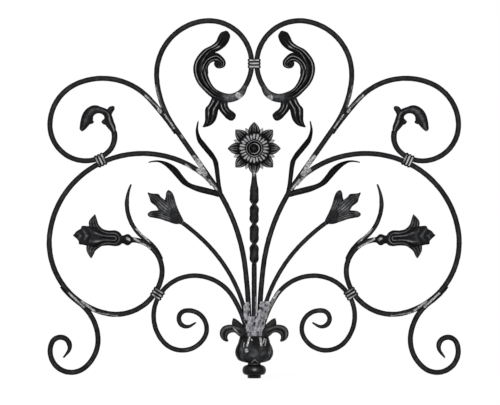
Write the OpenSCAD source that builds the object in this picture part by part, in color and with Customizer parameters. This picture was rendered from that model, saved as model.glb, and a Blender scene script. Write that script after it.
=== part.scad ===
// Forged scroll panel: bars, leaves and flowers that fan out of a base cup and are welded and strapped together.
// The panel stands in the XZ plane with its front towards -Y, and its origin is under the middle of the foot.
// A path is [start, heading, bends]: headings are degrees from +X towards +Z, and a bend is [radius, turn]
// with left turns positive, or [length, 0] where the bar runs straight.

/* [Panel] */
// Width over the two big scrolls; every bend of the layout grows with it
panel_w = 980; // [800:1:1200]
// Height of the base cup, up to the feet of the bars
cup_h = 100; // [80:1:125]
// Gap between pieces that are welded or strapped to each other
seat = 0.2; // [0.1:0.05:0.4]

/* [Bars] */
// Side of the square bar of the main stems, big scrolls, upper scrolls and tail scrolls
bar = 12; // [9:0.5:15]
// Side of the square bar of the flower stems and the tendrils
stem_bar = 10; // [8:0.5:12]
// Side of the square bar of the lower scrolls
curl_bar = 11; // [9:0.5:13]
// Width of a drawn-out scroll tip
tip_w = 3.5; // [2:0.5:6]
// Length over which a scroll's end is drawn out
scroll_tip = 38; // [25:1:90]
// Length over which a tendril's end is drawn out
tendril_tip = 44; // [30:1:110]
// How far the middle of a branch stands off the middle of the bar it is scarfed to
scarf = 3; // [2:0.5:4]

/* [Main stems] */
// Straight length above the cup
stem_foot = 10; // [5:1:30]
// Radii of the two bends that lead a stem outwards
rise_r = [1260, 441]; // [350:1:1500]
// Turns of those two bends
rise_turn = [7, 28]; // [5:0.5:32]
// Distance from the roots of the lance leaves to the start of the stem's straight run
leaf_gap = 33; // [20:1:45]
// Radii of the crown loop, from its outer side over the top to the crown collar
crown_r = [232, 127, 101]; // [90:1:260]
// Turns of the first two of those bends, before the last one brings the bar down plumb
crown_turn = [30.5, 86]; // [25:0.5:95]
// Radius of the bend below the crown collar
crown_end_r = 101; // [80:1:130]
// Turn of the bend below the crown collar
crown_end_turn = 31; // [20:0.5:40]

/* [Big scrolls] */
// Where a big scroll leaves the stem, along the stem from the start of its straight run
big_root = -5; // [-15:1:20]
// Radii from the root to the upper collar
big_fan_r = [122, 234, 227]; // [100:1:280]
// Turns of the first two of those bends
big_fan_turn = [19, 41]; // [10:0.5:50]
// Radii from the upper collar to the lower collar
big_belly_r = [215, 171, 110]; // [90:1:250]
// Turns of the first two of those bends
big_belly_turn = [57, 85]; // [40:0.5:95]
// Radii from the lower collar to the tulip
big_end_r = [110, 74]; // [60:1:130]
// Turns of those bends
big_end_turn = [19, 95]; // [10:0.5:100]

/* [Upper scrolls] */
// Where an upper scroll leaves the stem, along the stem from the start of its straight run
upper_root = 144; // [110:1:152]
// Length of the tangent of the bend that swings it off the stem
upper_lead = 50; // [35:1:65]
// Radii from the outer side to the upper collar
upper_r = [107, 85, 76]; // [70:1:120]
// Turns of those bends
upper_turn = [65, 91, 26]; // [20:0.5:95]
// Radii from the upper collar to the scroll leaf
upper_end_r = [76, 49]; // [45:1:85]
// Turns of those bends
upper_end_turn = [19, 61]; // [15:0.5:65]

/* [Lower scrolls] */
// Heading of a lower scroll where it leaves the bundle
lower_start = 100; // [96:0.5:106]
// Length of the tangent of its first bend
lower_lead = 50; // [35:1:60]
// Radius before the lower collar
lower_r = 97; // [85:1:110]
// Turn of that bend
lower_turn = 58; // [45:0.5:65]
// Radii from the lower collar inwards
lower_curl_r = [93, 60, 43, 19]; // [16:1:105]
// Turns of those bends
lower_curl_turn = [72, 108, 131, 202]; // [60:1:205]
// Straight end of the drawn-out tip
lower_tip = 14; // [8:1:20]

/* [Tail scrolls] */
// Heading of the big scroll where the tail is scarfed to it
tail_start = 306; // [300:1:312]
// How far the tail follows the big scroll before it turns away, in degrees
tail_follow = 18; // [12:1:22]
// Radii of the tail's bends
tail_r = [113, 85, 50, 22]; // [18:1:125]
// Turns of those bends
tail_turn = [48, 57, 152, 196]; // [40:1:190]
// Straight end of the drawn-out tip
tail_tip = 16; // [12:1:28]

/* [Flower stems and tendrils] */
// Height of a flower stem's root above the feet of the bars
flower_root = 11; // [6:1:20]
// Heading of a flower stem at its root
flower_start = 94; // [92:0.5:97]
// Radii of a flower stem
flower_r = [298, 354, 466]; // [250:1:500]
// Turns of those bends
flower_turn = [18, 23, 9]; // [6:0.5:26]
// Heading of the big scroll where a tendril is scarfed to it
tendril_start = 471; // [462:1:474]
// Radii of a tendril
tendril_r = [103, 103, 109]; // [85:1:125]
// Turns of a tendril, left, right and right
tendril_turn = [34, -60, -20]; // [-65:1:40]

/* [Collars] */
// Slope of the bars under the upper collars
upper_lean = 25; // [20:0.5:30]
// Slope of the bars under the lower collars
lower_lean = 58; // [52:0.5:64]
// Length of a collar along the bars
collar_l = 23; // [18:1:28]
// Thickness of a collar between its ribs
collar_t = 2; // [1.5:0.25:3]
// Height of a collar's ribs
rib_h = 1.5; // [1:0.25:2.5]
// Width of a collar's ribs
rib_w = 5; // [3:0.5:5.5]

/* [Centre stem and rosette] */
// Height of the rosette's middle above the feet of the bars
rosette_rise = 442; // [420:1:480]
// Width of the twisted flat bar
twist_w = 20.5; // [16:0.5:24]
// Thickness of the twisted flat bar
twist_t = 10; // [8:0.5:12]
// Length of the twisted stretch
twist_l = 186; // [150:1:200]
// Length of plain bar below the twist
plain_l = 171; // [140:1:175]
// Diameter over the rosette's long petals
rosette_d = 125; // [100:1:135]
// Diameter of the rosette's fluted ring
flute_d = 76; // [60:1:84]
// Diameter of the rosette's dome
dome_d = 20; // [14:1:24]
// Thickness of the rosette's back plate
rosette_t = 5; // [4:0.5:7]

/* [Base cup and weld] */
// Width of the cup's body
cup_w = 90; // [76:1:104]
// Depth of the cup's body, front to back
cup_depth = 50; // [44:1:60]
// Diameter of the ring under the body
ring_d = 56; // [50:1:62]
// Height of the ring
ring_t = 24; // [18:1:25]
// Diameter of the foot
foot_d = 32; // [28:1:36]
// Height of the weld metal above the feet of the bars
weld_h = 82; // [60:1:90]
// Height of the weld metal between the stems and the centre bar
slit_z = 44; // [30:1:55]
// How far the weld metal stands proud of the bars
weld_proud = 1.5; // [1:0.25:3]

/* [Hidden] */
iron = "#33363b";
ground = "#8b8f93";
// Share of the layout's bends at this width, which are written for a panel 980 wide
k = panel_w / 980;
// Largest turn and longest chord of one facet of a bar
turn_step = 7;
chord_step = 40;

// Unit vectors along a heading and to its left
function along(h) = [cos(h), sin(h)];
function left(h) = [-sin(h), cos(h)];

// Bends of a layout bar from their radii and turns
function bends_of(radii, turns, side = 1) = [for (i = [0 : len(turns) - 1]) [k * radii[i], side * turns[i]]];
function sum(v, i = 0) = i < len(v) ? v[i] + sum(v, i + 1) : 0;

function part_of(b, t) = b[1] == 0 || t == 0 ? [b[0] * t, 0] : [b[0], b[1] * t];
function length_of(b) = b[1] == 0 ? b[0] : b[0] * abs(b[1]) * PI / 180;
function run_of(bends) = sum([for (b = bends) length_of(b)]);

// The place after one bend, and before one bend
function after(p, h, b) = b[1] == 0 ? p + b[0] * along(h) : p + sign(b[1]) * b[0] * (left(h) - left(h + b[1]));
function before(p, h, b) = p - (after([0, 0], h - b[1], b));

// Place and heading at the end of a path, as [place, heading]
function end_of(path, i = 0) = i == len(path[2]) ? [path[0], path[1]]
    : end_of([after(path[0], path[1], path[2][i]), path[1] + path[2][i][1], path[2]], i + 1);
// Place and heading where a chain of bends must start to end at a given place and heading
function start_of(p, h, bends) = len(bends) == 0 ? [p, h]
    : let (last = bends[len(bends) - 1])
        start_of(before(p, h, last), h - last[1], [for (i = [0 : 1 : len(bends) - 2]) bends[i]]);
// Place and heading at a distance along a path
function at(path, s, i = 0) =
    let (b = path[2][i], l = length_of(b))
    s <= l || i == len(path[2]) - 1
    ? let (c = part_of(b, s / l)) [after(path[0], path[1], c), path[1] + c[1]]
    : at([after(path[0], path[1], b), path[1] + b[1], path[2]], s - l, i + 1);
// Place on a left-turning path where it has a given heading
function at_heading(path, h, i = 0) =
    let (b = path[2][i])
    h <= path[1] + b[1] || i == len(path[2]) - 1
    ? after(path[0], path[1], [b[0], h - path[1]])
    : at_heading([after(path[0], path[1], b), path[1] + b[1], path[2]], h, i + 1);

// Two bends that join a place and heading to another; lead is the tangent length of the first one
function turn_between(a, b) = (b - a + 540) % 360 - 180;
function two_bends(p, hp, q, hq, lead) =
    let (v = q - p, a = along(hp), b = along(hq),
        reach = (v * v / 2 - lead * (v * a)) / (v * b - lead * (a * b - 1)),
        chord = (q - reach * b) - (p + lead * a),
        mid = hp + turn_between(hp, atan2(chord[1], chord[0])),
        first = mid - hp, second = turn_between(mid, hq))
    [[lead / tan(abs(first) / 2), first], [reach / tan(abs(second) / 2), second]];

// Facet stations of a path, each [x, z, heading, distance]
function stations(path, i = 0, s = 0) = i == len(path[2]) ? [[path[0][0], path[0][1], path[1], s]]
    : let (b = path[2][i], l = length_of(b), n = max(1, ceil(abs(b[1]) / turn_step), ceil(l / chord_step)))
        concat([for (j = [0 : n - 1]) let (c = part_of(b, j / n), q = after(path[0], path[1], c))
            [q[0], q[1], path[1] + c[1], s + l * j / n]],
            stations([after(path[0], path[1], b), path[1] + b[1], path[2]], i + 1, s + l));

// Outline of a bar of width w along a path; over its last tip_l it narrows to tip_w
function outline(path, w, tip_l = 0) =
    let (st = stations(path), run = st[len(st) - 1][3],
        half = [for (q = st) tip_l == 0 ? w / 2 : lookup(q[3], [[run - tip_l, w / 2], [run, tip_w / 2]])])
    concat([for (i = [0 : len(st) - 1]) [st[i][0], st[i][1]] + half[i] * left(st[i][2])],
        [for (i = [len(st) - 1 : -1 : 0]) [st[i][0], st[i][1]] - half[i] * left(st[i][2])]);

// Main stem: its straight run is as long as it must be for the loops to meet at the crown collar
main_from = [-(bar + seat), cup_h];
main_rise = concat([[stem_foot * k, 0]], bends_of(rise_r, rise_turn));
main_lean = 90 + sum(rise_turn);
main_loop = bends_of(crown_r, [crown_turn[0], crown_turn[1], 90 + main_lean - sum(crown_turn)], -1);
loop_x = end_of([main_from, 90, concat(main_rise, main_loop)])[0][0];
main_straight = (-(bar + seat) / 2 - loop_x) / cos(main_lean);
main_to_crown = [main_from, 90, concat(main_rise, [[main_straight, 0]], main_loop)];
crown = end_of(main_to_crown);
main_path = [main_from, 90, concat(main_to_crown[2], [[k * crown_end_r, -crown_end_turn]])];
straight_from = end_of([main_from, 90, main_rise])[0];

// Big scroll, from its root past the upper collar and the lower collar to the tulip
big_from = straight_from + k * big_root * along(main_lean) + scarf * left(main_lean);
big_fan = bends_of(big_fan_r, concat(big_fan_turn, [180 + upper_lean - main_lean - sum(big_fan_turn)]));
big_belly = bends_of(big_belly_r,
    concat(big_belly_turn, [180 + lower_lean - upper_lean - sum(big_belly_turn)]));
big_path = [big_from, main_lean, concat(big_fan, big_belly, bends_of(big_end_r, big_end_turn))];
upper_touch = end_of([big_from, main_lean, big_fan])[0];
lower_touch = end_of([big_from, main_lean, concat(big_fan, big_belly)])[0];

// Upper scroll: laid out backwards from its collar, then led off the stem
upper_from = straight_from + k * upper_root * along(main_lean) + scarf * left(main_lean);
upper_hold = upper_touch - (bar + seat) * left(180 + upper_lean);
upper_in = bends_of(upper_r, upper_turn);
upper_side = start_of(upper_hold, 360 + upper_lean, upper_in);
upper_path = [upper_from, main_lean,
    concat(two_bends(upper_from, main_lean, upper_side[0], upper_side[1], k * upper_lead),
        upper_in, bends_of(upper_end_r, upper_end_turn))];

// Lower scroll: laid out the same way from the lower collar back to the bundle
lower_from = main_from - [scarf, 0];
lower_hold = lower_touch - ((bar + curl_bar) / 2 + seat) * left(lower_lean);
lower_in = bends_of([lower_r], [lower_turn]);
lower_side = start_of(lower_hold, 180 + lower_lean, lower_in);
lower_path = [lower_from, lower_start,
    concat(two_bends(lower_from, lower_start, lower_side[0], lower_side[1], k * lower_lead),
        lower_in, bends_of(lower_curl_r, lower_curl_turn), [[k * lower_tip, 0]])];

// Tail scroll, tendril and flower stem
tail_path = [at_heading(big_path, tail_start) - scarf * left(tail_start), tail_start,
    concat([[k * big_belly_r[1] + scarf, tail_follow]], bends_of(tail_r, tail_turn, -1), [[k * tail_tip, 0]])];
tendril_path = [at_heading(big_path, tendril_start) - scarf * left(tendril_start), tendril_start,
    bends_of(tendril_r, tendril_turn)];
flower_path = [main_from + [-scarf, k * flower_root], flower_start, bends_of(flower_r, flower_turn)];

// Where the lance leaves grow out of the stem
leaf_from = at(main_path, run_of(main_rise) - k * leaf_gap)[0];

// Turns a shape drawn in X and Z up into the panel's plane, t thick across Y
module upright(t) {
    rotate([90, 0, 0])
        linear_extrude(t, center = true)
            children();
}

module mirrored() {
    mirror([1, 0, 0])
        children();
}

// Room that a bar takes in a piece fitted to it
module room(path, w) {
    polygon(outline([path[0] - seat * along(path[1]), path[1], concat([[seat, 0]], path[2])], w + 2 * seat));
}

// Points of a stack of ovals, rows of [height, half width, half depth]
module oval_stack(rows, sides = 24) {
    points = [for (r = rows, j = [0 : sides - 1]) let (a = 360 * j / sides)
        [r[1] * cos(a), r[2] * sin(a), r[0]]];
    walls = [for (i = [0 : len(rows) - 2], j = [0 : sides - 1]) let (n = (j + 1) % sides)
        [i * sides + j, (i + 1) * sides + j, (i + 1) * sides + n, i * sides + n]];
    last = (len(rows) - 1) * sides;
    polyhedron(points, concat([[for (j = [0 : sides - 1]) j]], walls,
        [[for (j = [sides - 1 : -1 : 0]) last + j]]), convexity = 4);
}

module main_stem() {
    color(iron)
        upright(bar)
            polygon(outline(main_path, bar));
}

module big_scroll() {
    color(iron)
        upright(bar)
            difference() {
                polygon(outline(big_path, bar));
                room(main_path, bar);
            }
}

module upper_scroll() {
    color(iron)
        upright(bar)
            difference() {
                polygon(outline(upper_path, bar));
                room(main_path, bar);
            }
}

module flower_stem() {
    color(iron)
        upright(stem_bar)
            difference() {
                polygon(outline(flower_path, stem_bar));
                room(main_path, bar);
            }
}

module lower_scroll() {
    color(iron)
        upright(curl_bar)
            difference() {
                polygon(outline(lower_path, curl_bar, tip_l = scroll_tip * k));
                room(main_path, bar);
                room(flower_path, stem_bar);
                translate([-cup_w / 2, 0])
                    square([cup_w, cup_h]);
            }
}

module tail_scroll() {
    color(iron)
        upright(bar)
            difference() {
                polygon(outline(tail_path, bar, tip_l = scroll_tip * k));
                room(big_path, bar);
            }
}

module tendril() {
    color(iron)
        upright(stem_bar)
            difference() {
                polygon(outline(tendril_path, stem_bar, tip_l = tendril_tip * k));
                room(big_path, bar);
            }
}

// Strap of three ribs round two bars that lie side by side, the pair of widths w across
module collar(place, lean, w, depth) {
    ribs = [-1, 0, 1];
    pitch = (collar_l - rib_w) / 2;
    translate([place[0], 0, place[1]])
        rotate([0, -lean, 0]) {
            cube([collar_l - 2, depth + 2 * collar_t, w + 2 * collar_t], center = true);
            for (i = ribs)
                translate([i * pitch, 0, 0])
                    cube([rib_w, depth + 2 * (collar_t + rib_h), w + 2 * (collar_t + rib_h)], center = true);
        }
}

module crown_collar() {
    color(iron)
        difference() {
            collar([0, crown[0][1]], 90, 2 * bar + seat, bar);
            for (side = [0, 1])
                mirror([side, 0, 0])
                    upright(bar + 2 * seat)
                        room(main_path, bar);
        }
}

module upper_collar() {
    color(iron)
        difference() {
            collar((upper_touch + upper_hold) / 2, upper_lean, 2 * bar + seat, bar);
            upright(bar + 2 * seat)
                room(big_path, bar);
            upright(bar + 2 * seat)
                room(upper_path, bar);
        }
}

module lower_collar() {
    color(iron)
        difference() {
            collar((lower_touch + lower_hold) / 2, lower_lean, bar + curl_bar + seat, bar);
            upright(bar + 2 * seat)
                room(big_path, bar);
            upright(curl_bar + 2 * seat)
                room(lower_path, curl_bar);
        }
}

// Leaf or petal that starts at root, lofted over rungs: each is [x, z] of one edge and [x, z] of the other
module petal(root, rungs, depths, sides = 8) {
    last = len(rungs) - 1;
    middle = [for (r = rungs) root + [r[0] + r[2], r[1] + r[3]] / 2];
    half = [for (r = rungs) [r[0] - r[2], r[1] - r[3]] / 2];
    way = middle[1] - middle[0];
    side = sign(way[0] * half[0][1] - way[1] * half[0][0]);
    points = [for (i = [0 : last]) let (d = lookup(i / last, depths) / 2)
        for (j = [0 : sides - 1]) let (a = 360 * (j + 0.5) / sides, m = side * cos(a) * half[i])
            [middle[i][0] + m[0], d * sin(a), middle[i][1] + m[1]]];
    walls = [for (i = [0 : last - 1], j = [0 : sides - 1]) let (n = (j + 1) % sides)
        [i * sides + j, i * sides + n, (i + 1) * sides + n, (i + 1) * sides + j]];
    polyhedron(points, concat([[for (j = [sides - 1 : -1 : 0]) j]], walls,
        [[for (j = [0 : sides - 1]) last * sides + j]]), convexity = 6);
}

// Lance leaf with a narrow stalk that is welded to the main stem
module lance(rungs) {
    difference() {
        petal(leaf_from, rungs, [[0, 10], [0.3, 9], [0.7, 6], [1, 2]]);
        upright(bar + 2)
            room(main_path, bar);
        upright(bar + 2)
            room(big_path, bar);
    }
}

module upper_leaf() {
    color(iron)
        lance([[6, 1, -7, 3], [2, 20, -8.5, 20], [-0.5, 40, -11.5, 42], [-3, 63, -15, 66],
            [-5.5, 77, -18.5, 78.5], [-14, 93, -24, 86], [-27, 109.5, -37, 101.5], [-37, 122, -48, 115],
            [-44, 130.5, -53, 122.5], [-50, 143.5, -57, 137], [-52, 155, -58, 151], [-52, 163, -55.5, 162],
            [-51, 171.5, -52, 171]]);
}

module lower_leaf() {
    color(iron)
        lance([[-2, 6, -4, -8], [-20, 11.5, -18, -4], [-38, 16, -33, -0.5], [-66, 23.5, -61, 8],
            [-78, 31, -88, 22], [-89, 44, -98, 32], [-100, 58.5, -112, 48], [-111.5, 68, -123, 59.5],
            [-126.5, 75.5, -133, 68], [-145, 78.5, -145, 74.5], [-158.5, 77.5, -158, 76], [-169, 74.5, -169, 73]]);
}

// Scrolled acanthus leaf that ends the main stem inside the crown loop
module acanthus_leaf() {
    root = end_of(main_path);
    from = root[0] + seat * along(root[1]);
    color(iron)
        difference() {
            union() {
                petal(from, [[5, -3, -5, 3], [-2.5, -21.5, -14.5, -9.5], [-18.5, -34.5, -27.5, -17],
                    [-39.5, -40, -39.5, -19], [-59.5, -36.5, -54.5, -15.5], [-79.5, -28.5, -68.5, -8.5],
                    [-98.5, -11.5, -78.5, 2.5], [-113.5, 6.5, -85.5, 16.5], [-122, 27.5, -89, 31.5],
                    [-122.5, 48.5, -87.5, 50.5], [-114.5, 67.5, -81.5, 66.5], [-98.5, 85.5, -72.5, 77.5],
                    [-81.5, 94.5, -59.5, 84], [-69.5, 104.5, -45.5, 95.5], [-63.5, 117.5, -37.5, 109.5],
                    [-56.5, 126.5, -36.5, 120.5], [-46.5, 130, -41.5, 128.5]],
                    [[0, 10], [0.2, 14], [0.7, 14], [1, 6]]);
                petal(from, [[-110.5, 24.5, -87.5, 27.5], [-106.5, 46.5, -87.5, 44.5], [-95.5, 63.5, -81.5, 53.5],
                    [-82.5, 73.5, -74.5, 56.5], [-67.5, 77.5, -66.5, 55.5], [-54.5, 68.5, -62.5, 53.5],
                    [-46.5, 56.5, -59.5, 51.5], [-48.5, 45.5, -60.5, 48.5], [-58.5, 40.5, -62.5, 47.5],
                    [-69.5, 42.5, -65.5, 48.5], [-74.5, 51.5, -67.5, 51.5]], [[0, 13], [1, 10]]);
                petal(from, [[-77.5, -23.5, -51.5, -33.5], [-86.5, -43.5, -57.5, -44.5],
                    [-94.5, -53.5, -63.5, -56.5], [-95.5, -69.5, -66.5, -70.5], [-95.5, -81.5, -71.5, -83.5],
                    [-98.5, -91.5, -83.5, -94.5], [-101.5, -96.5, -98.5, -99]], [[0, 12], [1, 5]]);
                petal(from, [[-67.5, -40.5, -41.5, -35.5], [-61.5, -58.5, -40.5, -49.5],
                    [-52.5, -69.5, -35.5, -56.5], [-42.5, -79.5, -26.5, -63.5], [-33.5, -83, -22.5, -71.5],
                    [-29.5, -82.5, -24.5, -77.5]], [[0, 12], [1, 6]]);
            }
            upright(bar + 4)
                room(main_path, bar);
        }
}

// Leaf forged on the end of the upper scroll, with a spur on its back and a lip and a chin inside
module scroll_leaf() {
    root = end_of(upper_path);
    from = root[0] + seat * along(root[1]);
    color(iron)
        union() {
            petal(from, [[5.5, 1.5, -6, -1.5], [4, 13.5, -14, 7.5], [0.5, 22.5, -20, 15.5], [-3, 33.5, -22.5, 28.5],
                [-8, 45.5, -23, 35.5], [-19, 54, -28, 40.5], [-30, 58, -34, 42.5], [-40, 61.5, -40, 42],
                [-49, 61.5, -45, 39.5], [-59, 57.5, -48.5, 34.5], [-67.5, 50.5, -49, 28.5],
                [-74.5, 39.5, -51, 22.5], [-78.5, 25.5, -56, 17.5], [-80.5, 11.5, -62, 10.5],
                [-80, 4, -69.5, 3], [-77, 0.5, -73, 0.5]], [[0, bar], [0.4, 12], [0.9, 10], [1, 5]]);
            petal(from, [[-7, 33.5, -22, 46.5], [-3, 44.5, -15, 53.5], [2, 53.5, -9, 59], [1.5, 59, -3, 60.5]],
                [[0, 9], [1, 6]]);
            petal(from, [[-10, 27.5, -12, 9.5], [-21, 30.5, -19, 14.5], [-27, 26.5, -26.5, 18],
                [-29.5, 23.5, -29, 21]], [[0, 9], [1, 5]]);
            petal(from, [[-55, 31.5, -61, 17.5], [-50, 27, -54, 17], [-47, 23.5, -48, 19.5]], [[0, 8], [1, 5]]);
        }
}

// Bell of a tulip on its bulb, with a centre petal and two side petals
module tulip() {
    root = end_of(big_path);
    from = root[0] + seat * along(root[1]);
    color(iron)
        union() {
            petal(from, [[0.8, 6, -0.8, -6], [-7, 7.5, -7, -6.5], [-14, 13.5, -14, -12], [-20, 14, -20, -12.5],
                [-26, 11.5, -26, -9], [-34, 10.5, -34, -8]], [[0, bar], [0.2, 12], [0.5, 19], [1, 15]]);
            petal(from, [[-30, 9.5, -30, -7], [-35, 17, -35, -12], [-41, 21, -41, -14], [-63, 23, -63, -13],
                [-76, 25.5, -76, -14], [-90, 30, -90, -17], [-110, 33, -111, -14], [-126, 32.5, -122, -11.5],
                [-129, 26.5, -132.5, -9], [-137.5, 21.5, -133, -3], [-143, 15, -140, 5], [-146.5, 12, -146, 10]],
                [[0, 14], [0.14, 22], [0.45, 24], [0.75, 14], [1, 4]]);
            petal(from, [[-63, 22, -79, 7], [-78, 28, -104, 19], [-86, 37, -109, 35], [-90, 49, -108, 46],
                [-92.5, 57, -102.5, 53.5], [-94, 61, -95.5, 60.5]], [[0, 14], [1, 4]]);
            petal(from, [[-63, -12, -81, 4], [-81, -16, -109, -4], [-93.5, -26, -115, -15],
                [-98, -35, -113.5, -28], [-100.5, -39.5, -109, -36.5], [-103, -43, -105, -42.5]], [[0, 14], [1, 4]]);
        }
}

// Open flower of three petals on a small socket
module trumpet() {
    root = end_of(flower_path);
    from = root[0] + seat * along(root[1]);
    petal_depths = [[0, 12], [0.4, 14], [1, 4]];
    color(iron)
        union() {
            petal(from, [[3.5, 5, -3.5, -5], [-0.5, 9, -8, -1]], [[0, 13], [1, 14]]);
            petal(from, [[2.5, 7, -2.5, 1], [-7, 26, -20.5, 14], [-14.5, 45, -33.5, 35], [-17.5, 56, -41.5, 50],
                [-20.5, 65, -39, 62], [-24.5, 72, -38, 70], [-29.5, 76, -35.5, 75], [-32, 77, -33.5, 77]],
                petal_depths);
            petal(from, [[0.5, 6, -4.5, 0], [-13.5, 25, -21.5, 10], [-28.5, 43, -40.5, 17], [-41.5, 54, -56.5, 30],
                [-49.5, 60, -61.5, 38], [-57.5, 68, -74.5, 49], [-71.5, 69, -77.5, 59], [-80.5, 71.5, -82, 70]],
                petal_depths);
            petal(from, [[-0.5, 5, -3, -3], [-15.5, 15, -15.5, -3.5], [-35.5, 25, -33.5, 2], [-52.5, 30, -55.5, 9],
                [-60.5, 29, -68.5, 11.5], [-76.5, 26, -78, 14], [-81.5, 22, -81.5, 17]], petal_depths);
        }
}

// Flat bar of length l, twisted through a turn in n steps
module twisted(l, turn, n) {
    corners = [[1, 1], [-1, 1], [-1, -1], [1, -1]];
    points = [for (i = [0 : n], c = corners) let (a = turn * i / n, x = c[0] * twist_t / 2, y = c[1] * twist_w / 2)
        [x * cos(a) - y * sin(a), x * sin(a) + y * cos(a), l * i / n]];
    lower = [for (i = [0 : n - 1], j = [0 : 3]) [4 * i + j, 4 * i + 4 + j, 4 * i + (j + 1) % 4]];
    upper = [for (i = [0 : n - 1], j = [0 : 3]) let (m = (j + 1) % 4) [4 * i + 4 + j, 4 * i + 4 + m, 4 * i + m]];
    polyhedron(points, concat([[0, 1, 2, 3]], lower, upper, [[4 * n + 3, 4 * n + 2, 4 * n + 1, 4 * n]]));
}

// Twisted flat bar between a plain square bar below and a flat tail behind the rosette
module centre_stem() {
    tail_t = bar / 2;
    top = cup_h + rosette_rise;
    color(iron)
        union() {
            translate([-bar / 2, -bar / 2, cup_h])
                cube([bar, bar, plain_l]);
            translate([0, 0, cup_h + plain_l])
                twisted(twist_l, 720, 40);
            translate([-bar / 2, seat, cup_h + plain_l + twist_l])
                cube([bar, tail_t, rosette_rise - plain_l - twist_l]);
        }
}

// Rungs of a pointed petal that leaves a centre along heading h, from the radius r, of length l and half width w
function ray_rungs(h, r, l, w) = [for (s = [[0, 0.55], [0.35, 0.95], [0.55, 1], [0.75, 0.8], [0.9, 0.42], [1, 0.06]])
    let (p = (r + l * s[0]) * along(h), m = w * s[1] * left(h)) [p[0] + m[0], p[1] + m[1], p[0] - m[0], p[1] - m[1]]];

// Rosette of eight long and eight short petals round a fluted ring and a dome, welded to the stem's tail
module rosette() {
    z = cup_h + rosette_rise;
    ray = 22.5;
    long_from = flute_d / 4;
    color(iron)
        union() {
            translate([0, 0, z])
                rotate([90, 0, 0]) {
                    cylinder(h = rosette_t, d = flute_d);
                    cylinder(h = rosette_t + 4, d = 1.9 * dome_d);
                    cylinder(h = rosette_t + 6, d = 1.3 * dome_d);
                    translate([0, 0, rosette_t + 5])
                        sphere(d = dome_d);
                }
            for (i = [0 : 15])
                translate([0, -rosette_t / 2, 0])
                    if (i % 2 == 0)
                        petal([0, z], ray_rungs(90 + ray * i, long_from, rosette_d / 2 - long_from, 13),
                            [[0, 4], [0.5, 4.6], [1, 2]]);
                    else
                        petal([0, z], ray_rungs(90 + ray * i, long_from, 0.42 * rosette_d - long_from, 7.5),
                            [[0, 3], [1, 2]]);
        }
}

// Outline of the weld metal round the feet of the bars, g larger all round
module weld_outline(g) {
    foot = bar + seat + bar / 2 + scarf;
    rows = [[0, foot], [25, foot + 4], [50, foot + 10], [weld_h - 6, foot + 17], [weld_h, foot + 12]];
    polygon(concat([for (r = rows) [-r[1] - g, cup_h + r[0]]],
        [for (i = [len(rows) - 1 : -1 : 0]) [rows[i][1] + g, cup_h + rows[i][0]]]));
}

module base_weld() {
    thick = bar + 2 * weld_proud;
    gap = bar / 2 + 2.5;
    color(ground)
        difference() {
            upright(thick)
                difference() {
                    weld_outline(0);
                    translate([-gap, cup_h + slit_z])
                        square([2 * gap, weld_h]);
                }
            upright(bar + 2 * seat) {
                translate([-bar / 2 - seat, cup_h - 1])
                    square([bar + 2 * seat, weld_h]);
                for (side = [0, 1])
                    mirror([side, 0, 0]) {
                        room(main_path, bar);
                        room(flower_path, bar);
                        room(lower_path, bar);
                    }
            }
        }
}

// Oval cup on a round foot and ring, with a curled leaf and a spur at each side
module base_cup() {
    body_from = 0.36 * cup_h;
    body_h = cup_h - seat - body_from;
    w = cup_w / 2;
    d = cup_depth / 2;
    shape = [[0, 0.33, 0.56], [0.03, 0.56, 0.64], [0.08, 0.76, 0.76], [0.2, 0.92, 0.9], [0.38, 1, 1],
        [0.55, 0.96, 0.98], [0.75, 0.84, 0.9], [0.88, 0.79, 0.84], [1, 0.74, 0.78]];
    ring_z = 0.195 * cup_h;
    bead = ring_t / 2;
    sx = cup_w / 90;
    sz = cup_h / 100;
    hook = [[-20, 119, -28, 94], [-40, 124, -38, 101], [-52, 126.5, -46, 107.5], [-63, 126, -54, 107.5],
        [-72, 123, -59, 105], [-79, 116, -62, 101.5], [-81.5, 106, -63, 97], [-79, 96, -62.5, 93],
        [-71, 88, -61, 90], [-65, 86, -61, 87]];
    spur = [[-22, 121, -44, 108], [-33, 132, -52, 124], [-42.5, 139.5, -52.5, 133], [-48, 142, -50.5, 141]];
    color(iron)
        difference() {
            union() {
                cylinder(h = ring_z, d = foot_d);
                translate([0, 0, ring_z])
                    rotate_extrude()
                        translate([ring_d / 2 - bead, 0])
                            circle(d = ring_t);
                translate([0, 0, ring_z - bead])
                    cylinder(h = ring_t, d = ring_d - ring_t);
                translate([0, 0, ring_z])
                    cylinder(h = body_from - ring_z + 2, d = foot_d);
                oval_stack([for (r = shape) [body_from + body_h * r[0], w * r[1], d * r[2]]]);
                for (side = [0, 1])
                    mirror([side, 0, 0]) {
                        petal([0, 0], [for (r = hook) [r[0] * sx, r[1] * sz, r[2] * sx, r[3] * sz]],
                            [[0, 0.7 * cup_depth], [0.5, 20], [1, 8]], sides = 12);
                        petal([0, 0], [for (r = spur) [r[0] * sx, r[1] * sz, r[2] * sx, r[3] * sz]],
                            [[0, 20], [1, 7]]);
                    }
            }
            upright(cup_depth)
                intersection() {
                    weld_outline(seat);
                    translate([-cup_w, cup_h - seat])
                        square([2 * cup_w, 2 * weld_h]);
                }
            upright(curl_bar + 2 * seat)
                for (side = [0, 1])
                    mirror([side, 0, 0])
                        room(lower_path, curl_bar);
        }
}

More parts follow.
